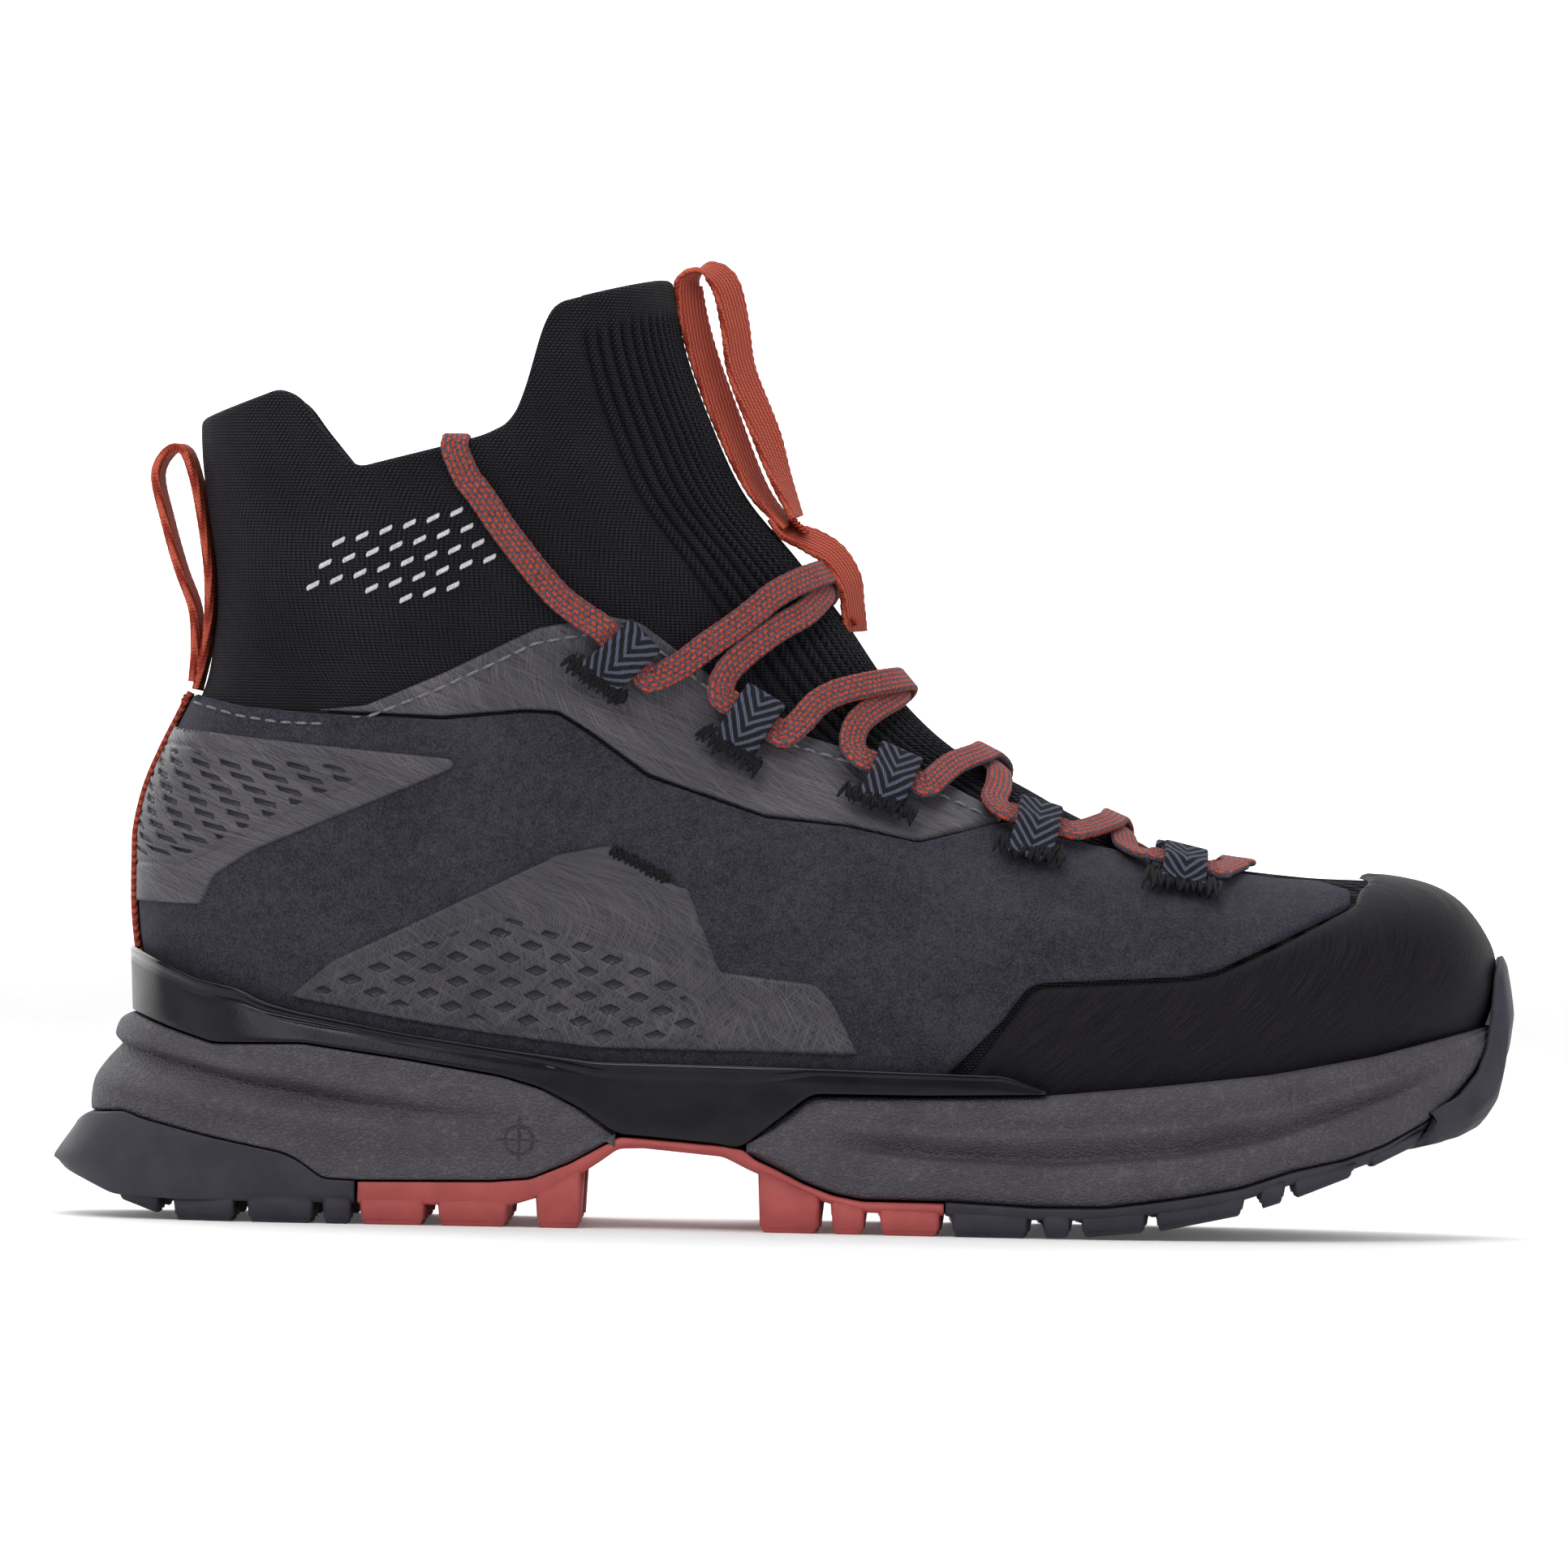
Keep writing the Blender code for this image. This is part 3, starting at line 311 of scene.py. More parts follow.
def fill_panel(loop, cell, rings=EDGE_RINGS):
    """Triangles that fill an outline given as turns and rows, close to even in size."""
    line = loop * PANEL_SCALE
    keep = np.linalg.norm(line - np.roll(line, 1, 0), axis=1) > 0.02
    line = line[keep]
    low, high = line.min(0), line.max(0)
    across = np.arange(low[0], high[0], cell)
    up = np.arange(low[1], high[1], cell * 0.866)
    gx, gy = np.meshgrid(across, up)
    gx = gx + (np.arange(len(up)) % 2)[:, None] * cell / 2
    dots = np.stack([gx.ravel(), gy.ravel()], 1)
    edge = np.vstack([line + (np.roll(line, -1, 0) - line) * f for f in (0, 0.33, 0.66)])
    ahead = np.roll(line, -1, 0) - np.roll(line, 1, 0)
    inward = np.stack([-ahead[:, 1], ahead[:, 0]], 1)
    inward /= np.linalg.norm(inward, axis=1, keepdims=True) + 1e-9
    turns = np.sum(line[:, 0] * np.roll(line[:, 1], -1) - np.roll(line[:, 0], -1) * line[:, 1])
    inward *= np.sign(turns)
    extra = []
    for depth in rings:
        band = line + inward * depth
        extra += list(band[distances(band, edge) > depth * 0.85])
    clear = rings[-1] + cell * 0.45
    dots = dots[inside(line, dots)]
    extra += list(dots[distances(dots, edge) > clear])
    points = [Vector(p) for p in np.vstack([line, np.array(extra)])]
    count = len(line)
    edges = [(i, (i + 1) % count) for i in range(count)]
    made, _, faces, _, _, _ = delaunay_2d_cdt(points, edges, [], 1, 1e-5)
    return np.array([tuple(p) for p in made]) / PANEL_SCALE, faces


def near_edge(places, loop):
    """How far each surface place is from an outline, in millimetres."""
    line = np.vstack([loop + (np.roll(loop, -1, 0) - loop) * f for f in (0, 0.5)])
    return distances(from_grid(places[:, 0], places[:, 1]), from_grid(line[:, 0], line[:, 1]))


def panel(name, loops, low, high, cell, look, relief=None, edge=0.7, **piece):
    """A sheet glued on the upper between two heights, its edge rounded down over a width.

    relief gives how deep each place is sunk, and where the finish may show its diamonds.
    """
    vertices, faces, flat, marks = [], [], [], []
    for loop in loops:
        places, triangles = fill_panel(loop, cell)
        depth = np.clip(near_edge(places, loop) / edge, 0, 1)
        out = low + (high - low) * np.sqrt(1 - (1 - depth) ** 2)
        arc = arc_from_toe(places[:, 0], places[:, 1])
        spot = from_grid(places[:, 0], places[:, 1])
        sunk, field = relief(spot[:, 0], spot[:, 2], arc) if relief else (0, np.zeros(len(places)))
        out = out - sunk * depth
        marks += field.tolist()
        points, _ = off_surface(places[:, 0], places[:, 1], out)
        faces += [[i + len(vertices) for i in f] for f in triangles]
        vertices += points.tolist()
        flat += np.stack([arc, spot[:, 2]], 1).tolist()
    return add_piece(name, vertices, faces, look, flat=flat, shade_values=marks, **piece)


# Finishes.

# Staggered diamonds in the windows. A lattice is its pitch along a row, and its first place.
DIAMOND_ROW, DIAMOND_HALF, DIAMOND_DEPTH, GROOVE_DEPTH = 2.55, (2.5, 1.15), 0.55, 0.35
MID_FIRST = (-59.7, 60.7)
MID_LATTICE = (10.9, (float(abs(arc_from_toe(*to_grid(*MID_FIRST, LATERAL)))), MID_FIRST[1]))
HEEL_LATTICE = (8.4, (0.0, 84.0))
PALE_FILM, MID_PALE_FILM = (0.12, 0.111, 0.13), (0.088, 0.0815, 0.096)
DARK_FILM = (0.02, 0.019, 0.0235)
# Hatch lines on the film: their length, then each set's turn and width.
HATCH_LENGTH, HATCHES = 11, ((0.5, 0.15), (0.95, 0.16), (-0.75, 0.16), (1.65, 0.17))
FOAM_GRAIN = (1.15, 1.15, 0.8)
MARK_AT, MARK_RADIUS = (-54.7, 18.0), 2.9
LIP_DEPTH = (2.4, 3.4)
CHEVRON_SLOPE, CHEVRON_PITCH = 1.15, 2.5


class Finish:
    """A material being built: a Principled shader and short ways to add nodes to it."""

    def __init__(self, name, colour, roughness, **sockets):
        self.made = bpy.data.materials.new(name)
        self.made.use_nodes = True
        self.tree = self.made.node_tree
        self.shader = self.tree.nodes["Principled BSDF"]
        self.shader.inputs["Base Color"].default_value = (*colour, 1)
        self.shader.inputs["Roughness"].default_value = roughness
        for socket, value in sockets.items():
            self.shader.inputs[socket.replace("_", " ")].default_value = value
        self.normal = None

    def node(self, kind, settings=None, **sockets):
        made = self.tree.nodes.new("ShaderNode" + kind)
        for key, value in (settings or {}).items():
            setattr(made, key, value)
        for socket, value in sockets.items():
            self.set(made.inputs[socket.replace("_", " ")], value)
        return made

    def set(self, socket, value):
        if isinstance(value, bpy.types.NodeSocket):
            self.tree.links.new(value, socket)
        else:
            socket.default_value = value

    def maths(self, operation, a, b=0.0, c=0.0):
        made = self.node("Math", {"operation": operation})
        for socket, value in zip(made.inputs, (a, b, c)):
            self.set(socket, value)
        return made.outputs[0]

    def place(self, stretch=(1, 1, 1), turn=(0, 0, 0), flat=False):
        """Object coordinates in millimetres, or the flat map's, scaled and turned."""
        found = self.node("UVMap", {"uv_map": "flat"}) if flat else self.node("TexCoord")
        out = found.outputs["UV" if flat else "Object"]
        turned = self.node("Mapping", Vector=out, Rotation=turn)
        scale = tuple(1000 / s for s in stretch)
        return self.node("Mapping", Vector=turned.outputs[0], Scale=scale).outputs[0]

    def noise(self, vector, detail=2.0, roughness=0.5):
        made = self.node("TexNoise", Vector=vector, Scale=1.0, Detail=detail, Roughness=roughness)
        return made.outputs["Fac"]

    def grain(self, size, detail=2.0, roughness=0.5):
        """Noise of one size in every direction, in millimetres."""
        return self.noise(self.place((size, size, size)), detail, roughness)

    def wave(self, stretch, turn, distortion=0.0):
        """Bands along the flat map, turned about its normal."""
        vector = self.place((stretch, stretch, 1), (0, 0, turn), flat=True)
        return self.node("TexWave", Vector=vector, Scale=1.0, Distortion=distortion).outputs["Fac"]

    def bricks(self, mortar, smooth, width, height):
        """1 in the joints between staggered bricks over the flat map."""
        made = self.node("TexBrick", {"offset": 0.5}, Vector=self.place(flat=True), Scale=1.0)
        keys = ("Mortar Size", "Mortar Smooth", "Brick Width", "Row Height")
        for key, value in zip(keys, (mortar, smooth, width, height)):
            made.inputs[key].default_value = value
        return made.outputs["Fac"]

    def shade(self):
        """The mesh's own mark at each place, from 0 to 1, which sets where painted shade may fall."""
        return self.node("Attribute", {"attribute_name": "shade"}).outputs["Fac"]

    def axes(self, flat=False):
        """Each place's X, Y and Z."""
        return self.node("SeparateXYZ", Vector=self.place(flat=flat)).outputs[:3]

    def cells(self, stretch, feature="F1"):
        """How far each place is from the nearest cell's centre, or from its edge."""
        made = self.node("TexVoronoi", {"feature": feature}, Vector=self.place(stretch), Scale=1.0)
        return made.outputs["Distance"]

    def ramp(self, value, low, high, out_low=0.0, out_high=1.0):
        made = self.node("MapRange", {"interpolation_type": "SMOOTHSTEP"}, Value=value)
        for key, setting in zip(("From Min", "From Max", "To Min", "To Max"), (low, high, out_low, out_high)):
            made.inputs[key].default_value = setting
        return made.outputs[0]

    def blend(self, amount, a, b):
        """A colour between a and b."""
        made = self.node("Mix", {"data_type": "RGBA"})
        self.set(made.inputs[0], amount)
        for socket, value in ((made.inputs[6], a), (made.inputs[7], b)):
            self.set(socket, (*value, 1) if isinstance(value, tuple) else value)
        return made.outputs[2]

    def colour(self, value):
        self.set(self.shader.inputs["Base Color"], value)

    def rough(self, value):
        self.set(self.shader.inputs["Roughness"], value)

    def bump(self, height, depth):
        """Raises the surface by height times depth millimetres."""
        made = self.node("Bump", Height=height, Strength=1.0, Distance=depth * MM)
        if self.normal:
            self.set(made.inputs["Normal"], self.normal)
        self.normal = made.outputs[0]
        self.set(self.shader.inputs["Normal"], self.normal)


def knit_look():
    """Small stitches, with painted shade in the rib grooves."""
    f = Finish("black_knit", (0.012, 0.012, 0.015), 0.85, Specular_IOR_Level=0.12)
    weave = f.maths("SUBTRACT", 1.0, f.bricks(0.2, 1.0, 0.95, 0.62))
    slant = f.wave(2.6, 0.75, 1.2)
    fuzz = f.grain(0.35, 3.0)
    height = f.maths("MULTIPLY_ADD", slant, 0.4, weave)
    height = f.maths("MULTIPLY_ADD", fuzz, 0.6, height)
    worn = f.grain(22, 2.0)
    # Painted shade: the colour darkens by up to four fifths where the rib grooves sink.
    groove = f.shade()
    shade = f.maths("MULTIPLY", f.ramp(height, 0.3, 1.8), f.ramp(worn, 0.25, 0.75, 0.6, 1.0))
    shade = f.maths("MULTIPLY", shade, f.maths("MULTIPLY_ADD", groove, -0.8, 1.0))
    f.colour(f.blend(shade, (0.0022, 0.002, 0.003), (0.034, 0.032, 0.041)))
    f.bump(height, 0.3)
    return f.made


def lining_look():
    f = Finish("lining_mesh", (0.015, 0.015, 0.018), 0.9, Specular_IOR_Level=0.15)
    cells = f.cells((1.3, 1.3, 1.3))
    f.colour(f.blend(f.ramp(cells, 0.1, 0.6), (0.004, 0.004, 0.005), (0.03, 0.03, 0.035)))
    f.bump(cells, 0.3)
    return f.made


def suede_look():
    """Brushed nap in two tones."""
    f = Finish("slate_suede", (0.03, 0.033, 0.045), 0.95, Specular_IOR_Level=0.1, Sheen_Weight=0.1)
    f.shader.inputs["Sheen Tint"].default_value = (0.6, 0.6, 0.8, 1)
    nap = f.grain(0.45, 4.0, 0.7)
    mottle = f.grain(2.2, 3.0, 0.6)
    brushed = f.noise(f.place((18, 18, 9)), 2.0)
    shade = f.maths("MULTIPLY_ADD", brushed, 0.14, f.maths("MULTIPLY", nap, 0.72))
    shade = f.maths("MULTIPLY_ADD", mottle, 0.2, shade)
    f.colour(f.blend(f.ramp(shade, 0.38, 0.7), (0.0155, 0.015, 0.0205), (0.062, 0.0595, 0.076)))
    f.rough(f.ramp(nap, 0.3, 0.7, 0.85, 1.0))
    f.bump(nap, 0.4)
    f.bump(mottle, 0.15)
    return f.made


def film_look(name, lattice=(10.0, (0.0, 0.0)), pale=PALE_FILM):
    """A coated film with fine crossing hatch lines, and painted shadow in its sunk diamonds, darkest along
    their upper edges, where it has them.
    """
    f = Finish(name, DARK_FILM, 0.5, Specular_IOR_Level=0.3)
    lines = []
    for turn, width in HATCHES:
        lines.append(f.noise(f.place((HATCH_LENGTH, width, 1), (0, 0, turn), flat=True), 0.0, 0.12))
    pairs = [f.maths("MAXIMUM", *lines[i:i + 2]) for i in (0, 2)]
    hatch = f.maths("MAXIMUM", *pairs)
    worn = f.grain(26, 2.0)
    pitch, first = lattice
    arc, height, _ = f.axes(True)
    along = f.maths("SUBTRACT", f.maths("ABSOLUTE", arc), first[0])
    up = f.maths("DIVIDE", f.maths("SUBTRACT", height, first[1]), DIAMOND_ROW)
    row = f.maths("ROUND", up)
    column = f.maths("DIVIDE", along, pitch)
    column = f.maths("SUBTRACT", column, f.maths("MULTIPLY", f.maths("FLOORED_MODULO", row, 2.0), 0.5))
    across = f.maths("MULTIPLY", f.maths("SUBTRACT", column, f.maths("ROUND", column)), pitch)
    rise = f.maths("MULTIPLY", f.maths("SUBTRACT", up, row), DIAMOND_ROW)
    reach = f.maths("ADD", f.maths("DIVIDE", f.maths("ABSOLUTE", across), DIAMOND_HALF[0]),
                    f.maths("DIVIDE", f.maths("ABSOLUTE", rise), DIAMOND_HALF[1]))
    field = f.shade()
    sunk = f.maths("MULTIPLY", f.ramp(reach, 0.78, 1.02, 1.0, 0.0), field)
    # Painted shadow: the sunk diamonds darken, most at their upper edges, and turn towards near black.
    shadow = f.maths("MULTIPLY", sunk, f.ramp(rise, -0.7, 0.5, 0.3, 1.0))
    shade = f.maths("MULTIPLY", f.ramp(hatch, 0.5, 0.74), f.ramp(worn, 0.3, 0.7, 0.65, 1.0))
    shade = f.maths("MULTIPLY", shade, f.maths("MULTIPLY_ADD", shadow, -0.9, 1.0))
    body = f.blend(shade, DARK_FILM, pale)
    f.colour(f.blend(f.maths("MULTIPLY", shadow, 0.7), body, (0.006, 0.006, 0.007)))
    f.rough(f.ramp(hatch, 0.5, 0.75, 0.62, 0.4))
    f.bump(hatch, 0.06)
    f.bump(f.maths("MULTIPLY", sunk, -1.0), 0.35)
    return f.made


def rand_look():
    """Black film with long faint streaks."""
    f = Finish("black_film", (0.008, 0.008, 0.009), 0.55, Specular_IOR_Level=0.11)
    vector = f.place((12, 0.24, 1), (0, 0, -0.8), flat=True)
    lines = f.noise(vector, 2.0)
    grain = f.grain(0.5, 3.0)
    both = f.maths("MULTIPLY_ADD", grain, 0.4, lines)
    f.colour(f.blend(f.ramp(both, 0.5, 0.95), (0.004, 0.0034, 0.005), (0.0165, 0.0145, 0.0195)))
    f.rough(f.ramp(lines, 0.35, 0.65, 0.5, 0.7))
    f.bump(both, 0.11)
    return f.made


def foam_look():
    """Moulded foam with leather-like grain, and a small locating mark sunk in the outer heel."""
    f = Finish("grey_foam", (0.09, 0.085, 0.092), 0.7, Specular_IOR_Level=0.35)
    cells = f.cells(FOAM_GRAIN, "DISTANCE_TO_EDGE")
    pits = f.grain(0.5, 3.0)
    mottle = f.noise(f.place((14, 14, 8)), 3.0)
    grain = f.maths("MULTIPLY_ADD", pits, 0.5, f.ramp(cells, 0.0, 0.3))
    x, y, z = f.axes()
    across, up = f.maths("SUBTRACT", x, MARK_AT[0]), f.maths("SUBTRACT", z, MARK_AT[1])
    away = f.maths("SQRT", f.maths("ADD", f.maths("MULTIPLY", across, across), f.maths("MULTIPLY", up, up)))
    ring = f.ramp(f.maths("ABSOLUTE", f.maths("SUBTRACT", away, MARK_RADIUS)), 0.18, 0.4, 1.0, 0.0)
    nearest = f.maths("MINIMUM", f.maths("ABSOLUTE", across), f.maths("ABSOLUTE", up))
    inside = f.ramp(away, MARK_RADIUS + 1.4, MARK_RADIUS + 1.7, 1.0, 0.0)
    cross = f.maths("MULTIPLY", f.ramp(nearest, 0.12, 0.32, 1.0, 0.0), inside)
    outer = f.maths("LESS_THAN", y, 0.0)
    mark = f.maths("MULTIPLY", f.maths("MAXIMUM", ring, cross), outer)
    tone = f.blend(f.ramp(mottle, 0.3, 0.7), (0.066, 0.06, 0.072), (0.082, 0.076, 0.09))
    f.colour(f.blend(f.maths("MULTIPLY", mark, 0.6), tone, (0.03, 0.027, 0.033)))
    f.rough(f.ramp(grain, 0.3, 1.3, 0.62, 0.78))
    f.bump(grain, 0.3)
    f.bump(f.maths("MULTIPLY", mark, -1.0), 0.35)
    return f.made


def rubber_look(name, dark, pale, roughness):
    """Moulded rubber, slightly uneven in tone."""
    f = Finish(name, dark, roughness, Specular_IOR_Level=0.35)
    mottle = f.grain(9, 4.0, 0.6)
    grain = f.grain(0.35, 2.0)
    f.colour(f.blend(f.ramp(mottle, 0.3, 0.7), dark, pale))
    f.rough(f.ramp(mottle, 0.25, 0.75, roughness - 0.07, roughness + 0.1))
    f.bump(grain, 0.05)
    f.bump(mottle, 0.15)
    return f.made


def chassis_look():
    """Satin moulded plastic, glossy along its top lip: the flat map's Y is the depth below the lip."""
    f = Finish("black_plastic", (0.008, 0.008, 0.0095), 0.4, Specular_IOR_Level=0.22)
    grain = f.grain(0.4, 3.0)
    smudge = f.noise(f.place((12, 12, 6)), 3.0)
    f.colour(f.blend(f.ramp(smudge, 0.3, 0.7), (0.0058, 0.0046, 0.0072), (0.0105, 0.0088, 0.013)))
    body = f.ramp(f.axes(True)[1], *LIP_DEPTH)
    f.rough(f.maths("MULTIPLY_ADD", body, 0.26, f.ramp(smudge, 0.25, 0.75, 0.07, 0.13)))
    f.bump(f.maths("MULTIPLY", grain, body), 0.07)
    return f.made


def board_look():
    f = Finish("fibre_board", (0.3, 0.27, 0.22), 0.85)
    fibres = f.noise(f.place((4, 0.5, 0.5)), 4.0, 0.7)
    f.colour(f.blend(f.ramp(fibres, 0.3, 0.7), (0.2, 0.18, 0.15), (0.38, 0.35, 0.3)))
    f.bump(fibres, 0.2)
    return f.made


def footbed_look():
    f = Finish("footbed_cloth", (0.05, 0.05, 0.055), 0.9, Sheen_Weight=0.3)
    cells = f.cells((0.9, 0.9, 0.9))
    f.colour(f.blend(f.ramp(cells, 0.1, 0.7), (0.02, 0.02, 0.023), (0.07, 0.07, 0.075)))
    f.bump(cells, 0.25)
    return f.made


def lace_look():
    """Rows of red stitches staggered on a grey violet ground."""
    f = Finish("woven_lace", (0.4, 0.06, 0.03), 0.75, Specular_IOR_Level=0.2)
    ground = f.bricks(0.26, 0.3, 1.5, 1.08)
    yarn = f.wave(1.3, 0.6, 0.8)
    tone = f.ramp(f.grain(0.5, 2.0), 0.3, 0.7)
    red = f.blend(tone, (0.36, 0.034, 0.014), (0.62, 0.085, 0.034))
    grey = f.blend(tone, (0.05, 0.042, 0.06), (0.115, 0.1, 0.135))
    f.colour(f.blend(ground, red, grey))
    height = f.maths("MULTIPLY_ADD", yarn, 0.35, f.maths("SUBTRACT", 1.0, ground))
    f.bump(height, 0.4)
    return f.made


def chevron_look():
    """Thick slate yarns in chevrons over black webbing."""
    f = Finish("slate_webbing", (0.02, 0.02, 0.03), 0.8, Specular_IOR_Level=0.15)
    across, along, _ = f.axes(True)
    run = f.maths("MULTIPLY_ADD", f.maths("ABSOLUTE", across), CHEVRON_SLOPE, along)
    wave = f.maths("SINE", f.maths("MULTIPLY", run, 2 * math.pi / CHEVRON_PITCH))
    yarn = f.ramp(wave, -0.15, 0.45)
    twist = f.wave(1.4, -0.5)
    slate = f.blend(twist, (0.045, 0.05, 0.085), (0.12, 0.125, 0.185))
    black = f.blend(f.grain(0.4, 2.0), (0.003, 0.003, 0.004), (0.02, 0.02, 0.024))
    f.colour(f.blend(yarn, black, slate))
    f.bump(f.maths("MULTIPLY_ADD", twist, 0.25, yarn), 0.4)
    return f.made


def twill_look(name, dark, pale, slant):
    """Red webbing: twisted yarns side by side along it."""
    f = Finish(name, dark, 0.75, Specular_IOR_Level=0.2)
    cords = f.wave(3.6, slant, 0.4)
    twist = f.wave(1.7, 0.85)
    tone = f.maths("MULTIPLY_ADD", twist, 0.35, cords)
    f.colour(f.blend(f.ramp(tone, 0.1, 1.1), dark, pale))
    f.bump(tone, 0.45)
    return f.made


def thread_look(name, dark, pale):
    f = Finish(name, dark, 0.7, Specular_IOR_Level=0.15)
    fuzz = f.grain(0.35, 3.0)
    f.colour(f.blend(f.ramp(fuzz, 0.3, 0.7), dark, pale))
    f.bump(fuzz, 0.15)
    return f.made


KNIT = knit_look()
LINING = lining_look()
SUEDE_LOOK = suede_look()
GREY_FILM = film_look("grey_film")
MID_FILM = film_look("grey_film_middle", MID_LATTICE, MID_PALE_FILM)
HEEL_FILM = film_look("grey_film_heel", HEEL_LATTICE)
RAND_LOOK = rand_look()
FOAM = foam_look()
DARK_RUBBER = rubber_look("dark_rubber", (0.021, 0.0185, 0.0275), (0.037, 0.033, 0.047), 0.6)
RED_RUBBER = rubber_look("red_rubber", (0.34, 0.062, 0.058), (0.43, 0.084, 0.08), 0.58)
CHASSIS_LOOK = chassis_look()
BOARD = board_look()
FOOTBED_LOOK = footbed_look()
LACE_LOOK = lace_look()
CHEVRON = chevron_look()
RED_TWILL = twill_look("red_webbing", (0.26, 0.028, 0.014), (0.56, 0.105, 0.06), 0.12)
RED_TAPE = twill_look("red_tape", (0.2, 0.024, 0.014), (0.45, 0.085, 0.05), 0.7)
BLACK_THREAD = thread_look("black_thread", (0.002, 0.002, 0.003), (0.014, 0.014, 0.017))
GREY_THREAD = thread_look("grey_thread", (0.11, 0.11, 0.12), (0.24, 0.24, 0.26))
RED_THREAD = thread_look("red_thread", (0.25, 0.02, 0.014), (0.5, 0.07, 0.045))
WHITE_KNIT = thread_look("white_knit", (0.42, 0.42, 0.44), (0.75, 0.75, 0.78))


# Upper.

RIB_PITCH, RIB_DEPTH, RIB_REACH, RIB_GROOVE, RIB_ROW = 3.0, 0.95, 46.0, 0.2, 0.93
COLLAR_THICK, COLLAR_START, KNIT_THICK = 3.6, 0.72, 1.3
FRONT_TURN, KNIT_ROWS, INNER_ROWS, INNER_END = 0.85, 168, 24, 0.6


def rim_row(turn):
    """The row at which the column at this turn meets the collar's rim."""
    s = (1 + math.cos(turn)) / 2
    x = BACK_CURVE[:, 0] + (FRONT_CURVE[:, 0] - BACK_CURVE[:, 0]) * s
    z = row_height(FRONT_CURVE[:, 1], BACK_CURVE[:, 1], s, DENSE)
    over = z - soft_level(RIM, x)
    above = np.nonzero(over >= 0)[0]
    if not len(above) or above[0] == 0:
        return 1.0
    i = above[0]
    return DENSE[i - 1] + (DENSE[i] - DENSE[i - 1]) * -over[i - 1] / (over[i] - over[i - 1])


def upper_columns():
    """Turns all round the boot, closer together over the ribbed front."""
    front = np.linspace(0, FRONT_TURN, 120)
    rest = np.linspace(FRONT_TURN, math.pi, 130)[1:]
    half = np.concatenate([front, rest])
    return np.concatenate([-half[::-1], half[1:-1]])


def ribs(turn, v):
    """How far the knit sinks between its ribs."""
    reference = np.abs(arc_from_toe(turn, np.full(turn.shape, RIB_ROW)))
    phase = reference / RIB_PITCH + 0.5
    groove = np.exp(-((phase - np.round(phase)) / RIB_GROOVE) ** 2)
    spot = from_grid(turn, v)
    shown = 1 - smoothstep(RIB_REACH - 3, RIB_REACH, reference)
    shown = shown * (1 - smoothstep(-9, -4, spot[:, 2] - soft_level(RIM, spot[:, 0])))
    return -RIB_DEPTH * groove * shown


def knit_upper():
    """The knit bootee: outside with its ribs, over the round rim, and some way down the inside."""
    turns = upper_columns()
    rims = np.array([rim_row(abs(t)) for t in turns])
    vertices, flat, groove_shades = [], [], []

    def ring(v, out, lift=0.0, groove=0.0):
        points, _ = off_surface(turns, v, out)
        points[:, 2] += lift
        groove_shades.append(np.full(len(turns), groove))
        vertices.append(points)
        flat.append(np.stack([arc_from_toe(turns, v), points[:, 2]], 1))

    for row in np.linspace(0, 1, KNIT_ROWS):
        sunk = ribs(turns, rims * row)
        # Each outer row keeps how deep its rib grooves sink, for the painted shade in them.
        ring(rims * row, sunk, 0.0, -sunk / RIB_DEPTH)
    half = COLLAR_THICK / 2
    for degrees in range(30, 180, 30):
        turn = math.radians(degrees)
        ring(rims, half * math.cos(turn) - half, half * math.sin(turn))
    for row in np.linspace(1, INNER_END, INNER_ROWS):
        depth = KNIT_THICK + (COLLAR_THICK - KNIT_THICK) * smoothstep(COLLAR_START, 0.86, row)
        ring(rims * row, -depth)
    faces = grid_faces(len(vertices), len(turns), True)
    add_piece("knit_upper", np.vstack(vertices), faces, KNIT, ["knit_upper"], slot="black_knit",
              flat=np.vstack(flat), shade_values=np.concatenate(groove_shades))


def lining():
    """The lining sleeve between the knit and the footbed."""
    turns = np.linspace(-math.pi, math.pi, 181)[:-1]
    rims = np.array([rim_row(abs(t)) for t in turns])
    vertices = []
    for row in np.linspace(0.02, 0.78, 60):
        depth = -4.2 + 0.7 * smoothstep(0.68, 0.78, row)
        points, _ = off_surface(turns, rims * row, depth)
        vertices.append(points)
    faces = grid_faces(len(vertices), len(turns), True)
    add_piece("lining", np.vstack(vertices), faces, LINING, ["lining"], slot="lining_mesh")


# Panels on the upper as side outlines, in X and Z.
SUEDE = [(-150, 46), (-150, 112), (-125.3, 109), (-114.7, 106.7), (-100, 105.5), (-72.6, 104.6),
         (-55.7, 106.3), (-48.9, 106.1), (-42, 101.8), (-29.9, 93.2), (-20, 90), (-5.6, 85.2),
         (11.2, 83.6), (26.2, 80.4), (43.6, 84.8), (52, 82.2), (85.6, 75.4), (100, 73.8),
         (110, 73.3), (116.8, 71.4), (116.2, 68.8), (100, 61.2), (88, 55.6), (82, 54.4),
         (52, 52.6), (49.2, 51.4), (44.4, 44.9), (33, 33), (20, 30), (-20, 30.5), (-60, 33),
         (-80, 36), (-113, 44)]
TOP_QUARTER = [(-99, 106.1), (-88.7, 107.3), (-73.3, 114), (-60, 120.7), (-53.3, 124),
               (-46.7, 125.3), (-38.7, 126.7), (-32, 125.4), (-18.4, 115.5), (-4.6, 104.7),
               (14.2, 99), (31.6, 93), (43.6, 87), (43.4, 85.4), (26.2, 81.1), (11.2, 84.3),
               (-5.4, 85.9), (-19.7, 90.6), (-29.5, 93.9), (-41.7, 102.5), (-48.8, 106.8),
               (-55.7, 107), (-72.6, 105.3)]
HEEL_WINDOW = [(-150, 104), (-129, 101.5), (-70.4, 96.4), (-70, 94.5), (-110.5, 77), (-119, 71.4),
               (-121.3, 65.3), (-150, 66.5)]
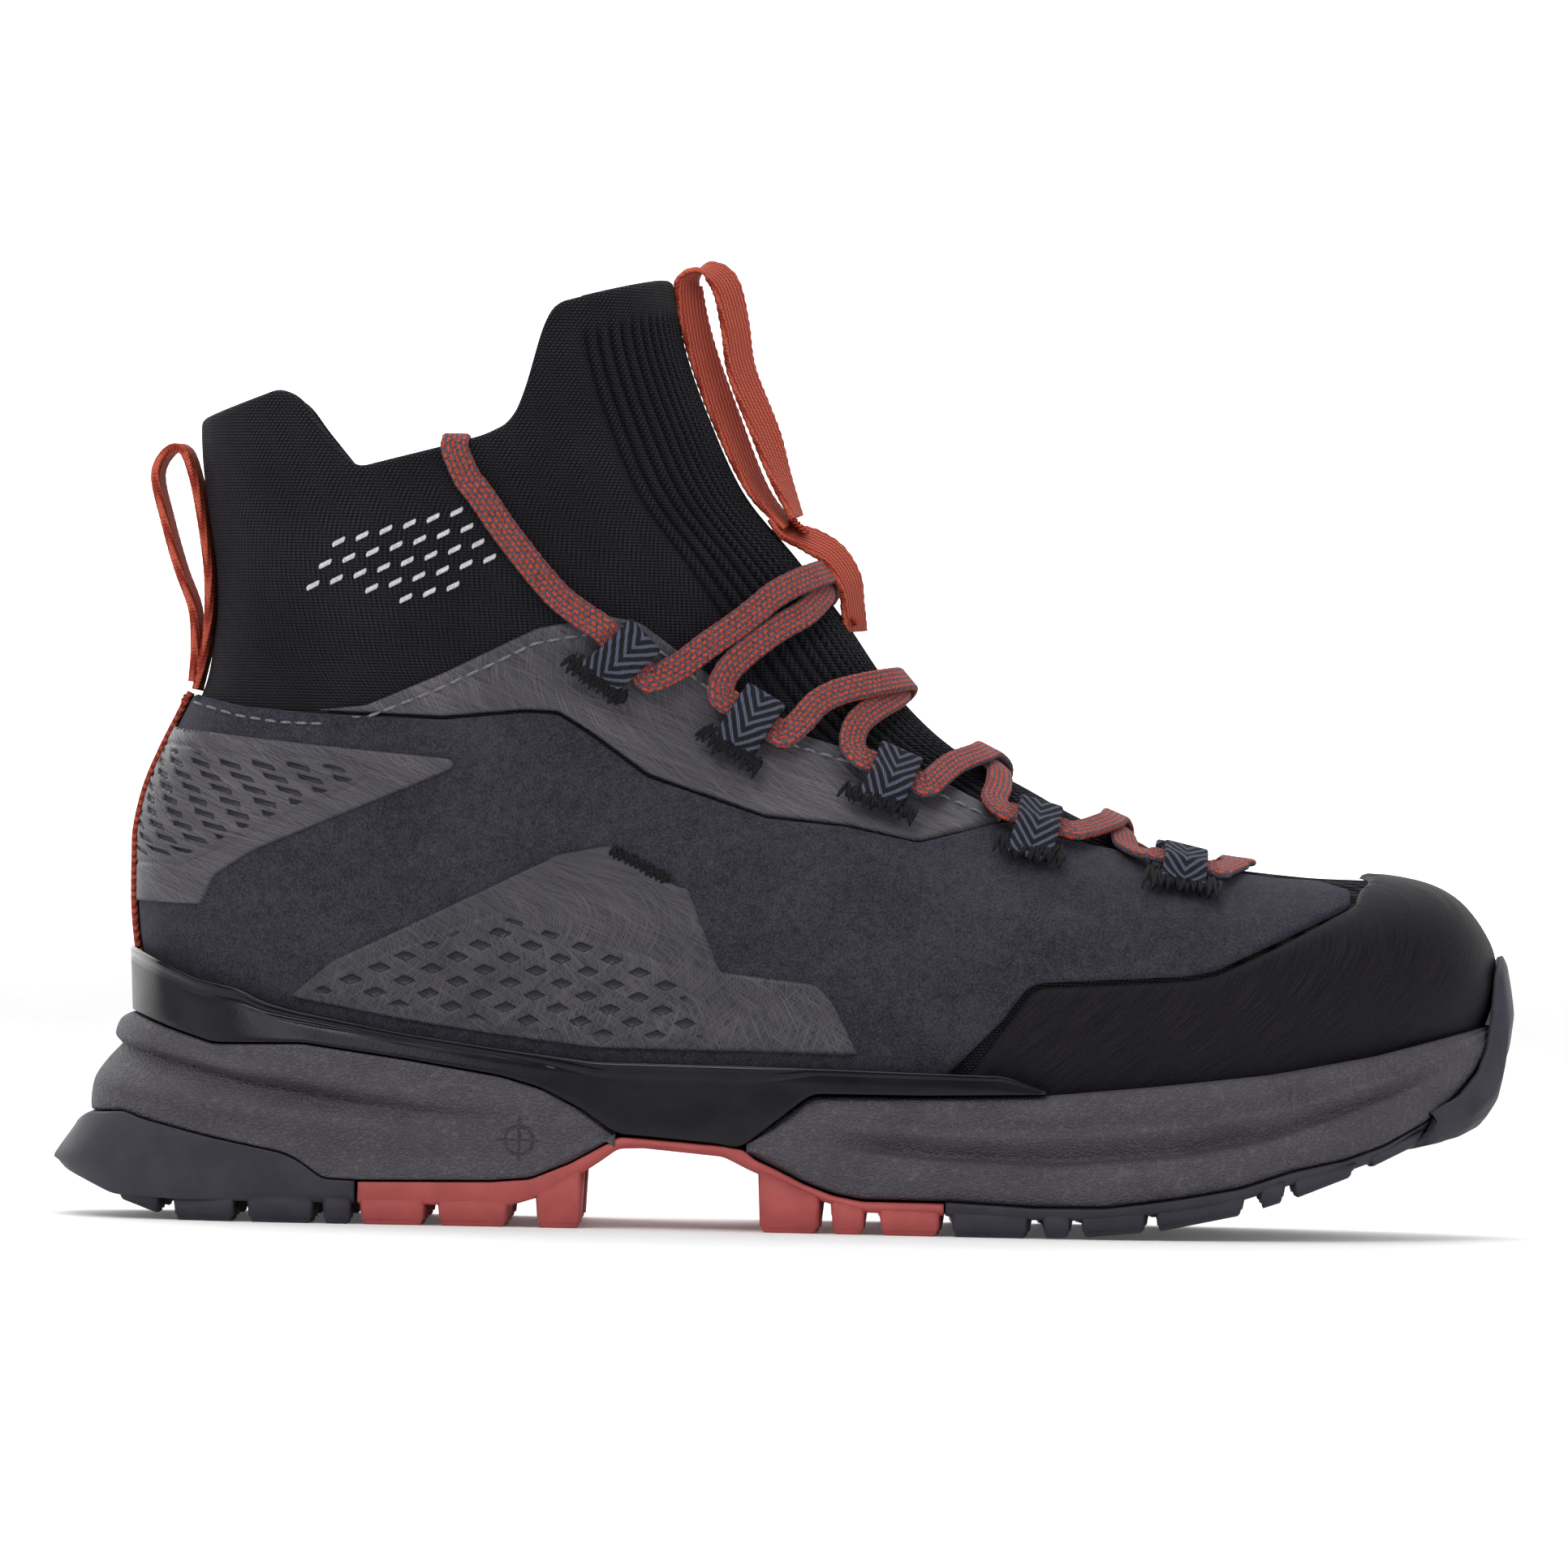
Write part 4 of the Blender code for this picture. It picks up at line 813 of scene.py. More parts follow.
MID_WINDOW = [(-103, 46.6), (-94.7, 54.1), (-48, 77), (-37.7, 79), (-22.8, 70.5), (-21, 70.5),
              (-13.9, 53.5), (5.8, 51.3), (9.2, 48), (15, 37), (-39.6, 37.4), (-60.1, 39.6),
              (-79.7, 42.4)]
RAND_EDGE = [(36, 31), (45.2, 44.2), (50, 50.6), (52.4, 51.8), (82, 53.6), (88.2, 54.8),
             (100.4, 60.4), (117.2, 69), (118.6, 72)]
RAND_TOP_X, RAND_LOW_ROW, RAND_TAPER, FILM_EDGE = 119.2, 0.002, 2.4, 0.5
HEEL_SEAM_TURN = math.pi - 0.085
EMBOSS_HEEL = [(-150, 73.8), (-125.5, 73.9), (-88.1, 91.9), (-87.7, 93.3), (-94.7, 95.7), (-132, 98),
               (-150, 99)]
EMBOSS_MID = [(-101, 47), (-95, 51.5), (-64, 63.8), (-59.7, 65.3), (-23.5, 54.6), (-21.6, 53.4),
              (-15.5, 38.4), (-39.6, 38.8), (-60.1, 41), (-79.7, 43.9)]


def edge_distance(x, z, outline):
    """Signed distance from a side outline, positive inside."""
    line = fill_in(outline, 0.8, True)
    spots = np.stack([x, z], 1)
    away = distances(spots, line)
    return np.where(inside(line, spots), away, -away)


def diamond_relief(lattice, outline):
    """A panel's relief: staggered diamonds inside a groove along an outline."""
    pitch, (first_x, first_z) = lattice

    def relief(x, z, arc):
        row = np.round((z - first_z) / DIAMOND_ROW)
        along = np.abs(arc) - first_x - (row % 2) * pitch / 2
        across, rise = along - np.round(along / pitch) * pitch, z - first_z - row * DIAMOND_ROW
        reach = np.abs(across) / DIAMOND_HALF[0] + np.abs(rise) / DIAMOND_HALF[1]
        inward = edge_distance(x, z, outline)
        field = smoothstep(0.8, 1.6, inward)
        groove = smoothstep(0.75, 0.3, np.abs(inward))
        return DIAMOND_DEPTH * smoothstep(1.1, 0.8, reach) * field + GROOVE_DEPTH * groove, field

    return relief


def rand_loop():
    """The toe rand's outline from the lateral side over the toe to the medial side."""
    height = np.interp(-RAND_TOP_X, -FRONT_CURVE[:, 0][20:], FRONT_CURVE[:, 1][20:])
    crown_row = np.interp(height, FRONT_CURVE[:, 1], DENSE)
    edge = fill_in(RAND_EDGE, 0.8, False)
    sides = {side: np.array([to_grid(x, z, side) for x, z in edge]) for side in (LATERAL, MEDIAL)}
    lateral, medial = sides[LATERAL], sides[MEDIAL][::-1]
    start, end = lateral[-1], medial[0]
    over = []
    for s in np.linspace(0, 1, 42)[1:-1]:
        turn = start[0] + (end[0] - start[0]) * s
        bulge = 1 - (2 * s - 1) ** 2
        row = start[1] + (end[1] - start[1]) * s
        over.append((turn, row + (crown_row - row) * bulge))
    under = [(t, RAND_LOW_ROW) for t in np.linspace(medial[-1][0], lateral[0][0], 260)]
    return np.vstack([lateral, over, medial, under])


def film(name, loop, low, high, cell, look, relief=None):
    """A film panel, one CAD node."""
    panel(name, [loop], low, high, cell, look, relief, edge=FILM_EDGE, nodes=[name], slot="grey_film")


def upper_panels():
    """Suede and rand on the knit, the top quarters on the knit, and the windows on the suede."""
    both = [on_side(SUEDE, side) for side in (LATERAL, MEDIAL)]
    panel("suede_overlay", both, 0.2, 1.5, 1.5, SUEDE_LOOK, nodes=["suede_overlay"], slot="slate_suede")
    panel("toe_rand", [rand_loop()], 0.2, 1.6, 1.3, RAND_LOOK, edge=RAND_TAPER, nodes=["toe_rand"],
          slot="black_film")
    mid_relief = diamond_relief(MID_LATTICE, EMBOSS_MID)
    heel_relief = diamond_relief(HEEL_LATTICE, EMBOSS_HEEL)
    for word, side in SIDES.items():
        film(f"top_quarter_{word}", on_side(TOP_QUARTER, side), 0.1, 0.9, 1.1, GREY_FILM)
        film(f"mid_window_{word}", on_side(MID_WINDOW, side), 1.5, 2.3, 0.5, MID_FILM, mid_relief)
        loop = on_side(HEEL_WINDOW, side)
        loop[:, 0] = side * np.minimum(np.abs(loop[:, 0]), HEEL_SEAM_TURN)
        film(f"heel_window_{word}", loop, 1.5, 2.3, 0.5, HEEL_FILM, heel_relief)


knit_upper()
lining()
upper_panels()


# Soles, as the frame has them: side lines of X and Z.

SOLE_WIDTH = {
    LATERAL: [(-150, 42), (-100, 43.5), (-60, 44), (-30, 45), (0, 49.5), (30, 54.5), (60, 57),
              (90, 56), (152, 51)],
    MEDIAL: [(-150, 41), (-100, 41.5), (-60, 39), (-30, 37.5), (0, 41.5), (30, 48.5), (60, 52.5),
             (90, 53.5), (152, 50)],
}
GROUND = [(-152, 11), (-150, 9), (-139.5, 4.4), (-126, 0), (50, 0), (64, 0.6), (73.8, 1.6),
          (80.8, 2.4), (94, 5.4), (109, 10.2), (117.8, 13.8), (135, 22), (150, 36)]
CHASSIS_TOP = [(-138, 56.5), (-129.2, 52.7), (-122.7, 49.9), (-113.3, 48.1), (-109.1, 45.9),
               (-102.1, 43.9), (-79.7, 39.7), (-60.1, 36.9), (-39.6, 34.5), (0, 34.2), (45, 33.3),
               (53.5, 30.2)]
CHASSIS_LOW = [(-138, 43.4), (-129.2, 40.1), (-118.9, 36.9), (-100.3, 37.3), (-79.7, 34.5),
               (-59.2, 31.3), (-50.8, 28.9), (-42.4, 24.7), (-34.9, 19.6), (-29.3, 19.3), (-14, 18.1),
               (-9.4, 17.2), (-7.4, 18.8), (5.2, 28.8), (28, 28.9), (53.5, 29.6)]
HEEL_SOLE_TOP = [(-153, 14), (-150, 18), (-146, 21.4), (-137.6, 21.9), (-133.9, 20.5),
                 (-119.9, 17.3), (-104, 14.3), (-100.3, 12.6), (-95.6, 9.2), (-88.6, 8.9)]
HEEL_SOLE_LOW = [(-153, 11.5), (-150, 9.5), (-139.5, 5), (-126, 4.3), (-88, 4.3)]
ARCH_TOP = [(-88.3, 8.9), (-61, 9.3), (-52.7, 10), (-44.3, 13.5), (-34.5, 19.1), (-29.3, 18.9),
            (-12.8, 17.8), (-8.3, 17.0), (-6.6, 15.2), (-2, 13.2), (4, 10.2), (10, 8), (16, 6.9),
            (32.8, 6.9)]
ARCH_LOW = [(-88.3, 4.3), (-57, 4.3), (-50, 6.5), (-44, 10), (-38, 14), (-34.5, 16.6),
            (-29.3, 16.8), (-12.8, 15.4), (-7, 12.6), (0, 9.8), (8, 6.6), (16, 4.6), (32.8, 4.3)]
FORE_MID_TOP = [(-7.4, 18.6), (5.2, 28.2), (28, 28.4), (52, 29.2), (76, 31.6), (100, 34.4),
                (121.6, 38.4), (148, 45.2)]
FORE_MID_LOW = [(-7.4, 16), (-2, 13.5), (4, 10.6), (10, 8.4), (16, 7.3), (32.8, 7.3), (52, 6.4),
                (66.4, 6.6), (82, 8.8), (94, 11), (104.8, 14.6), (115.6, 17), (124, 20), (133.6, 25.4),
                (139.6, 30.8), (144.4, 36.2), (147.8, 42.6), (149, 44)]
HEEL_CREASE = [(-146, 36.8), (-138.6, 35.6), (-111.4, 28.7), (-83.4, 24.1), (-62, 22), (-30, 20.4)]
HEEL_RIDGE = [(-146, 29.2), (-135, 27.6), (-113, 23.6), (-79, 19), (-55, 17), (-30, 17.6)]
FORE_CREASE = [(-8, 18.4), (5.5, 19), (30, 16.4), (56.6, 15.7), (80, 17.8), (100.7, 21.7),
               (127.7, 31.5), (149, 43.6)]
ENVELOPE = 2.95
# The sole's plan is rounded off from here to its ends, with these powers.
TOE_FROM, HEEL_FROM, LIP_FROM, SOLE_TIP, SOLE_BACK = 62, -98, -88, 153, -150
TOE_ROUND, HEEL_ROUND = 2.2, 2.3
HALF_SOLE = 45
CHASSIS_BACK, CHASSIS_FRONT, CHASSIS_INSIDE = -137.2, 53.5, -131.5


def sole_half(x, side, tip, back):
    """Half the sole's width for a piece that ends at tip and back."""
    toe = rounded((x - TOE_FROM) / (tip - TOE_FROM), TOE_ROUND)
    heel = rounded((HEEL_FROM - x) / (HEEL_FROM - back), HEEL_ROUND)
    return level(SOLE_WIDTH[side], x) * toe * heel


def stations(start, end, count, round_start, round_end):
    """Places along the sole, closer together towards a rounded end."""
    t = np.linspace(0, 1, count)
    if round_start and round_end:
        t = (1 - np.cos(np.pi * t)) / 2
    elif round_start:
        t = 0.55 * (1 - np.cos(np.pi / 2 * t)) + 0.45 * t**2
    elif round_end:
        t = 0.55 * np.sin(np.pi / 2 * t) + 0.45 * (1 - (1 - t) ** 2)
    return start + (end - start) * t


def sole_ring(x, widths, z):
    """A level ring round the sole: the lateral side, then the medial one in reverse."""
    sides = [np.stack([x, middle(x) + side * widths[side], z], 1) for side in (LATERAL, MEDIAL)]
    return np.vstack([sides[0], sides[1][::-1]])


def facing_quads(start, points):
    """Faces across one ring, each side point joined to the one facing it."""
    return [(start + i, start + i + 1, start + points - i - 2, start + points - i - 1)
            for i in range(points // 2 - 1)]


def block_faces(rings):
    """Walls through the rings, closed across the first and the last."""
    count = len(rings[0])
    faces = grid_faces(len(rings), count, True)
    return faces + facing_quads(0, count) + facing_quads((len(rings) - 1) * count, count)


def sole_block(ends, count, walls, round_start=False, round_end=False, rows=44):
    """Rings of a sole piece. walls: from below, (height line, side inset, end inset)."""
    keys = []
    for height, inset, end_inset in walls:
        start = ends[0] + (end_inset if round_start else 0)
        end = ends[1] - (end_inset if round_end else 0)
        x = stations(start, end, count, round_start, round_end)
        tip = end if round_end else SOLE_TIP
        back = start if round_start else SOLE_BACK
        drawn_in = inset(x) if callable(inset) else inset
        widths = {side: sole_half(x, side, tip, back) * (1 - drawn_in / HALF_SOLE)
                  for side in (LATERAL, MEDIAL)}
        keys.append(sole_ring(x, widths, height(x)).ravel())
    fine = spline(np.array(keys), np.linspace(0, 1, rows))
    return [row.reshape(-1, 3) for row in fine]


def pit_rings(ends, count, top, round_start, round_end):
    """Down the inside of a sole piece, along the upper that sits in it, to the floor under it."""
    x = stations(*ends, count, round_start, round_end)
    s = np.clip((x - BACK_LINE[0][0]) / (FRONT_LINE[0][0] - BACK_LINE[0][0]), 0, 1)
    bottom = row_height(FRONT_LINE[0][1], BACK_LINE[0][1], s, 0) - 2.6
    rings = []
    for height in (np.maximum(top(x) - 0.8, bottom + 0.5), bottom):
        widths = {side: half_width(x, height, side) + 0.6 for side in (LATERAL, MEDIAL)}
        rings.append(sole_ring(x, widths, height))
    return rings


def line_of(keys, lift=0.0, reach=1.2):
    """A side line as a function of X."""
    return lambda x: soft_level(keys, x, reach) + lift


def heel_midsole():
    """Foam under the heel, with a bulge below its crease that fades out at the arch."""
    low = line_of(HEEL_SOLE_TOP[:-1] + ARCH_TOP, GAP)
    top = line_of(CHASSIS_LOW, -GAP)

    def fades(amount, rest=0.0):
        return lambda x: rest + amount * (1 - smoothstep(-100, -48, x))

    def capped(keys, lift=0.0):
        wanted = line_of(keys, lift, 3)
        return lambda x: np.clip(wanted(x), low(x) + 1.2 + 0.3 * lift, top(x) - 2.6 + 0.3 * lift)

    ridge, crease = capped(HEEL_RIDGE), capped(HEEL_CREASE)
    walls = [(low, 1.2, 0.9), (lambda x: low(x) + 0.7, 0.35, 0.2),
             (lambda x: low(x) * 0.5 + ridge(x) * 0.5, fades(1.0, 0.1), 0.2),
             (ridge, fades(-0.45, 0.2), 1.0),
             (lambda x: ridge(x) * 0.45 + crease(x) * 0.55, fades(2.2, 0.6), 3.6),
             (crease, fades(4.0, 0.9), 6.3), (lambda x: crease(x) + 0.5, fades(3.8, 1.0), 6.2),
             (lambda x: crease(x) * 0.72 + top(x) * 0.28, fades(0.7, 1.1), 5.0),
             (lambda x: crease(x) * 0.3 + top(x) * 0.7, fades(0.9, 1.5), 6.0),
             (lambda x: top(x) - 0.5, 2.1, 8.2), (top, 3.0, 9.4)]
    rings = sole_block((-145.6, -35.2), 210, walls, True, rows=96)
    rings += pit_rings((-128, -35.2), 210, top, True, False)
    add_piece("heel_midsole", np.vstack(rings), block_faces(rings), FOAM, ["heel_midsole"], slot="grey_foam")


def forefoot_midsole():
    """Foam from the arch to the toe, with a crease along its side."""
    low, top = line_of(FORE_MID_LOW), line_of(FORE_MID_TOP)
    crease = line_of(FORE_CREASE, 0, 3)

    def between(amount, lift=0.0):
        """From the crease at 0 to the top line at 1 or the low line at -1."""
        def height(x):
            middle_line = np.clip(crease(x), low(x) + 1, top(x) - 1)
            other = top(x) if amount > 0 else low(x)
            return middle_line + (other - middle_line) * abs(amount) + lift
        return height

    def fades(amount, rest):
        return lambda x: rest + amount * smoothstep(2, 26, x) * (1 - smoothstep(122, 144, x))

    walls = [(low, 2.4, 0.9), (lambda x: low(x) + 0.8, 0.9, 0.2), (between(-0.6), 0.1, 0),
             (between(-0.16), fades(0.5, 0.2), 0), (between(0), fades(2.6, 0.3), 0.1),
             (between(0.1), fades(2.5, 0.35), 0.2), (between(0.34), fades(0.4, 0.35), 0.3),
             (between(0.5), fades(0.9, 0.35), 0.3), (between(0.72), 0.9, 0.5),
             (between(1, -0.9), 1.6, 0.8), (between(1, -0.2), 2.5, 1.1), (between(1, 0.05), 3.4, 2.0)]
    rings = sole_block((-8.0, 148.4), 240, walls, False, True, rows=84)
    rings += pit_rings((-8.0, 143), 240, top, False, True)
    add_piece("forefoot_midsole", np.vstack(rings), block_faces(rings), FOAM, ["forefoot_midsole"],
              slot="grey_foam")


def chassis():
    """The stiff frame round the heel and midfoot, with a glossy lip along its top."""
    count = 230
    # Share of the height from the low line, then how far out and up the wall is there.
    keys = [(0, 0, 0), (0.12, 0.25, 0), (0.35, 0.1, 0), (0.62, -0.15, 0), (0.8, -0.3, -0.6),
            (0.86, -0.1, -0.2), (0.9, 0.45, 0), (0.96, 0.75, -0.1), (1, 0.35, 0), (1.0, -0.5, 0.15)]
    columns, depths = [], []
    for fraction, out, lift in keys:
        back = CHASSIS_BACK - fraction * 0.7
        x = stations(back, CHASSIS_FRONT, count, True, False)
        low = soft_level(CHASSIS_LOW, x) + 0.1
        top = soft_level(CHASSIS_TOP, x)
        room = np.clip((top - low) / 8, 0.05, 1)
        z = low + (top - low) * fraction + lift * room
        widths = {}
        for side in (LATERAL, MEDIAL):
            turned_in = rounded((HEEL_FROM - x) / (HEEL_FROM - back), HEEL_ROUND)
            foot = level(SOLE_WIDTH[side], x) * turned_in * 0.95
            turned_in = rounded((LIP_FROM - x) / (LIP_FROM - back), HEEL_ROUND)
            lip = level(FOOT_WIDTH[side], x) * turned_in + ENVELOPE + 1.6
            lip = lip * rounded((-130 - x) / (-130 - back), 2)
            widths[side] = np.maximum(foot * (1 - fraction) + lip * fraction, lip) + out * room
        columns.append(sole_ring(x, widths, z).ravel())
        depths.append(np.concatenate([top - z, (top - z)[::-1]]))
    outer = spline(np.array(columns), np.linspace(0, 1, 60)).reshape(60, -1, 3)
    depth = spline(np.array(depths), np.linspace(0, 1, 60))
    x = stations(CHASSIS_INSIDE, CHASSIS_FRONT, count, True, False)
    inner = []
    for line, drop in ((CHASSIS_TOP, 0.2), (CHASSIS_LOW, -0.3)):
        z = soft_level(line, x) - drop
        widths = {side: half_width(x, z, side) + 0.9 for side in (LATERAL, MEDIAL)}
        inner.append(sole_ring(x, widths, z))
    rings = np.concatenate([outer, inner])
    depth = np.vstack([depth, np.full((2, 2 * count), 12.0)])
    points = np.transpose(rings, (1, 0, 2))
    turned = np.roll(points, -count, axis=0).reshape(-1, 3)
    flat = np.stack([turned[:, 0], np.roll(depth.T, -count, axis=0).ravel()], 1)
    add_piece("chassis", turned, capped_faces(2 * count, len(rings)), CHASSIS_LOOK, ["chassis"],
              slot="black_plastic", flat=flat)


def lug(outline, base, steps=((0, 0.75), (0.5, 0.25), (1.1, 0.12), (1.25, -0.3), (1.0, -1.0))):
    """A tread lug over a plan outline. steps: (height or share of it, inset), foot first."""
    outline = np.array(outline, float)
    centre = outline.mean(0)
    corners = []
    for a, b, c in zip(np.roll(outline, 1, 0), outline, np.roll(outline, -1, 0)):
        corners += [b + (a - b) * 0.6 / np.linalg.norm(a - b), b + (c - b) * 0.6 / np.linalg.norm(c - b)]
    corners = np.array(corners)
    rings = []
    for height, inset in steps:
        outward = corners - centre
        reach = np.linalg.norm(outward, axis=1, keepdims=True)
        place = centre + outward * (1 - inset / reach)
        ground = level(GROUND, place[:, 0])
        z = level(base, place[:, 0]) + 1.2 if inset == -1.0 else ground + height
        rings.append(np.column_stack([place, z]))
    return np.vstack(rings), capped_faces(len(rings), len(corners))


def tread(spans, base):
    """Lugs along both edges over X spans, and split chevrons between them."""
    parts = []
    for x0, x1, reach, lean in spans:
        for side in (LATERAL, MEDIAL):
            outer = [float(sole_half(np.array(x), side, 148, -147)) - 1.4 for x in (x0, x1)]
            y = [float(middle(np.array(x))) for x in (x0, x1)]
            outline = [(x0, y[0] + side * outer[0]), (x1, y[1] + side * outer[1]),
                       (x1 + lean * 0.5, y[1] + side * (outer[1] - reach * 0.8)),
                       ((x0 + x1) / 2 + lean, y[0] + side * (outer[0] - reach)),
                       (x0 + lean * 0.5, y[0] + side * (outer[0] - reach * 0.8))]
            parts.append(lug(outline, base))
            size, x = (x1 - x0) * 0.55, x0 + (x1 - x0) * 0.33
            wide = min(size * 1.35, min(outer) - reach - 2.5)
            if wide > 3:
                outline = [(x - size * 0.1, y[0] + side * 1.2), (x + size, y[0] + side * 1.2),
                           (x + size * 0.55, y[0] + side * wide), (x - size * 0.5, y[0] + side * wide)]
                parts.append(lug(outline, base))
    return parts


def joined(parts):
    """Several closed shapes as the vertices and faces of one piece."""
    vertices, faces = [], []
    for points, polygons in parts:
        faces += [[i + len(vertices) for i in f] for f in polygons]
        vertices += points.tolist()
    return vertices, faces


def outsole(name, ends, count, walls, spans, base, look, slot, extra=(), **rounding):
    """A rubber plate with its lugs."""
    rings = sole_block(ends, count, walls, rows=26, **rounding)
    parts = [(np.vstack(rings), block_faces(rings))] + tread(spans, base) + list(extra)
    add_piece(name, *joined(parts), look, [name], slot=slot)


BUMPER_TOP = [(118, 19.6), (125.6, 22.5), (133.6, 26.6), (139.6, 30.6), (143.6, 35.4), (145.6, 40.4),
              (146.6, 47.0), (147.4, 56.0), (148.6, 59.5)]


def toe_bumper():
    """The rubber that turns up round the front of the toe, with small steps along its lower edge."""
    outer = [(118, 15.6), (122.8, 16.2), (128, 18.9), (132, 21), (135.6, 22.8), (136.2, 24.2),
             (141.2, 26.9), (145.6, 29.8), (146.4, 31.4), (149.2, 33.4), (151.5, 40.2),
             (152.4, 47.4), (151.5, 53.6), (150.6, 58.2), (149.7, 59.5)]
    inner = [(148.8, 59.2), (148.7, 52), (147.6, 43.4), (144.2, 36), (139.6, 30.4), (133.6, 25.8),
             (125.6, 21), (118, 18.4)]
    outer = fill_in(outer, 1.1, False)
    profile = np.vstack([outer, inner])
    foot, wing, nose, widest = 16, 32, 148.6, 132
    rings = []
    for s in np.linspace(-1, 1, 81):
        y = wing * s
        side = LATERAL if y < 0 else MEDIAL
        reach = abs(y) / level(SOLE_WIDTH[side], widest)
        back = nose - (TOE_FROM + (nose - TOE_FROM) * rounded(reach, TOE_ROUND))
        shrink = (level(BUMPER_TOP, nose - back) - foot) / (BUMPER_TOP[-1][1] - foot)
        thin = 1 - 0.75 * smoothstep(0.8, 1.0, abs(s))
        line = profile.copy()
        line[:len(outer), 0] -= (1 - thin) * 2.4 * smoothstep(30, 44, line[:len(outer), 1])
        heights = foot + (line[:, 1] - foot) * shrink
        rings.append(np.stack([line[:, 0] - back, np.full(len(line), y + TOE_SHIFT), heights], 1))
    return np.vstack(rings), capped_faces(len(rings), len(profile))


def outsoles():
    """Heel, midfoot and forefoot rubber. Lug spans: from, to, depth across the sole, lean."""
    top, low = line_of(HEEL_SOLE_TOP, 0.1), line_of(HEEL_SOLE_LOW)
    walls = [(low, 2.2, 1.6), (lambda x: low(x) + 0.6, 1.2, 0.5),
             (lambda x: low(x) * 0.6 + top(x) * 0.4, 0, 0),
             (lambda x: top(x) - 0.7, 0.1, 3.9), (lambda x: top(x) - 0.1, 0.5, 4.7), (top, 1.5, 6)]
    outsole("heel_outsole", (-152.9, -88.9), 90, walls,
            [(-138.2, -130, 12, 2), (-125.9, -114.3, 15, 2), (-110.5, -98, 15, 2), (-95, -90, 9, 1)],
            HEEL_SOLE_LOW, DARK_RUBBER, "dark_rubber", round_start=True)
    top_arch, low_arch = line_of(ARCH_TOP, -0.1, 0.8), line_of(ARCH_LOW, 0, 0.8)
    walls = [(low_arch, 2.0, 0), (lambda x: low_arch(x) + 0.5, 0.9, 0),
             (lambda x: low_arch(x) * 0.5 + top_arch(x) * 0.5, 0.3, 0),
             (lambda x: top_arch(x) - 0.3, 0.5, 0), (top_arch, 1.3, 0)]
    outsole("midfoot_outsole", (-88.2, 32.8), 150, walls,
            [(-87.2, -75, 14, 2), (-71, -57.8, 14, 2), (-50.8, -42.6, 11, 1), (-4.8, 6.5, 10, 2),
             (10.2, 16, 9, 1), (20.2, 31.4, 14, 2)],
            ARCH_LOW, RED_RUBBER, "red_rubber")
    top_fore = line_of(FORE_MID_LOW, -0.1, 0.8)
    places = [33.1, 50, 64, 73.8, 80.8, 94, 104.8, 115.6, 124, 133.6, 139.6, 144.4, 148]
    plate = [(x, min(float(level(GROUND, x)) + 4.3, float(top_fore(np.array([x]))[0]) - 2.6)) for x in places]
    low_fore = line_of(plate, 0, 0.8)
    walls = [(low_fore, 2.0, 3.6), (lambda x: low_fore(x) + 0.6, 0.6, 2),
             (lambda x: top_fore(x) - 0.4, 0.1, 0.4), (top_fore, 1.4, 1.4)]
    outsole("forefoot_outsole", (33.2, 147), 120, walls,
            [(35, 49.6, 16, 2), (53.6, 58.4, 8, 1), (61.6, 73.8, 16, 2), (77, 94.2, 17, 1),
             (98.4, 102.8, 8, 0), (105.6, 117.4, 14, -1), (121.5, 131.5, 10, -2)],
            plate, DARK_RUBBER, "dark_rubber", [toe_bumper()], round_end=True)


def footbed():
    """The removable foam footbed with its cloth top and raised heel cup."""
    turns = np.linspace(-math.pi, 0, 130)
    turns = np.concatenate([turns, -turns[::-1]])
    base = from_grid(turns, np.zeros(len(turns)))
    _, outward = off_surface(turns, np.full(len(turns), 0.02), 0)
    outward[:, 2] = 0
    outward = unit(outward)
    rings = []
    profile = ((7.0, 6.3), (5.9, 6.7), (5.7, 8.4), (5.9, 10), (6.6, 10.6), (8.5, 10.5), (11, 10.2))
    for inset, rise in profile:
        rings.append(base - outward * inset + np.array([0, 0, rise]))
    add_piece("footbed", np.vstack(rings), block_faces(rings), FOOTBED_LOOK, ["footbed"], body="insole")


def hidden_boards():
    """The counter, toe puff and insole board keep the frame's shapes and get their fibre finish."""
    for name in ("heel_counter", "toe_puff", "insole_board"):
        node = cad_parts[name]
        node.data.materials.clear()
        node.data.materials.append(BOARD)


heel_midsole()
forefoot_midsole()
chassis()
outsoles()
footbed()
hidden_boards()


# Lace, loops and stitching.

LACE_LOOPS = [((-41.6, 113.2), (-33.2, 121.6)), ((-13.2, 98), (-7.2, 107.8)),
              ((17.2, 86.6), (20.6, 95.4)), ((48.6, 75.6), (50.2, 84.4)),
              ((80.4, 70.6), (80.6, 75.2))]
LOOP_WIDTH, LOOP_THICK, LOOP_CLEARANCE = 9.2, 1.1, 0.5
LACE_WIDTH, LACE_SHOWN, LACE_THICK = 6.5, 5.8, 1.5
LACE_LOW, LACE_HIGH, LACE_BAR, LACE_IN_LOOP, LACE_INSIDE = 1.7, 3.7, 2.0, 4.7, -6
LACE_BEHIND_FOLD, LACE_BESIDE_LOOP, LACE_STRAIGHT = 3.5, 7.4, 5.2
RISE = [[(-19, 120.6), (-9.3, 127.6), (-2, 132.6)], [(4, 108), (12.6, 111.6)], [(32.4, 95)],
        [(60.8, 81.6)]]
CROSSING_X = [4.4, 21, 39.6, 66.6]
FALL = [[(1, 127.4), (-7.4, 121.8), (-14.6, 115.2)], [(15.8, 107.6), (11.6, 101.6)], [(42.2, 91)],
        [(69, 79)]]
BAR_X, BAR_SIDE = 92.5, [(90.4, 74.2), (92.2, 75.7)]
COLLAR_RUN = [(-49, 130.5), (-57.3, 140), (-64.4, 149.6), (-68.6, 155)]
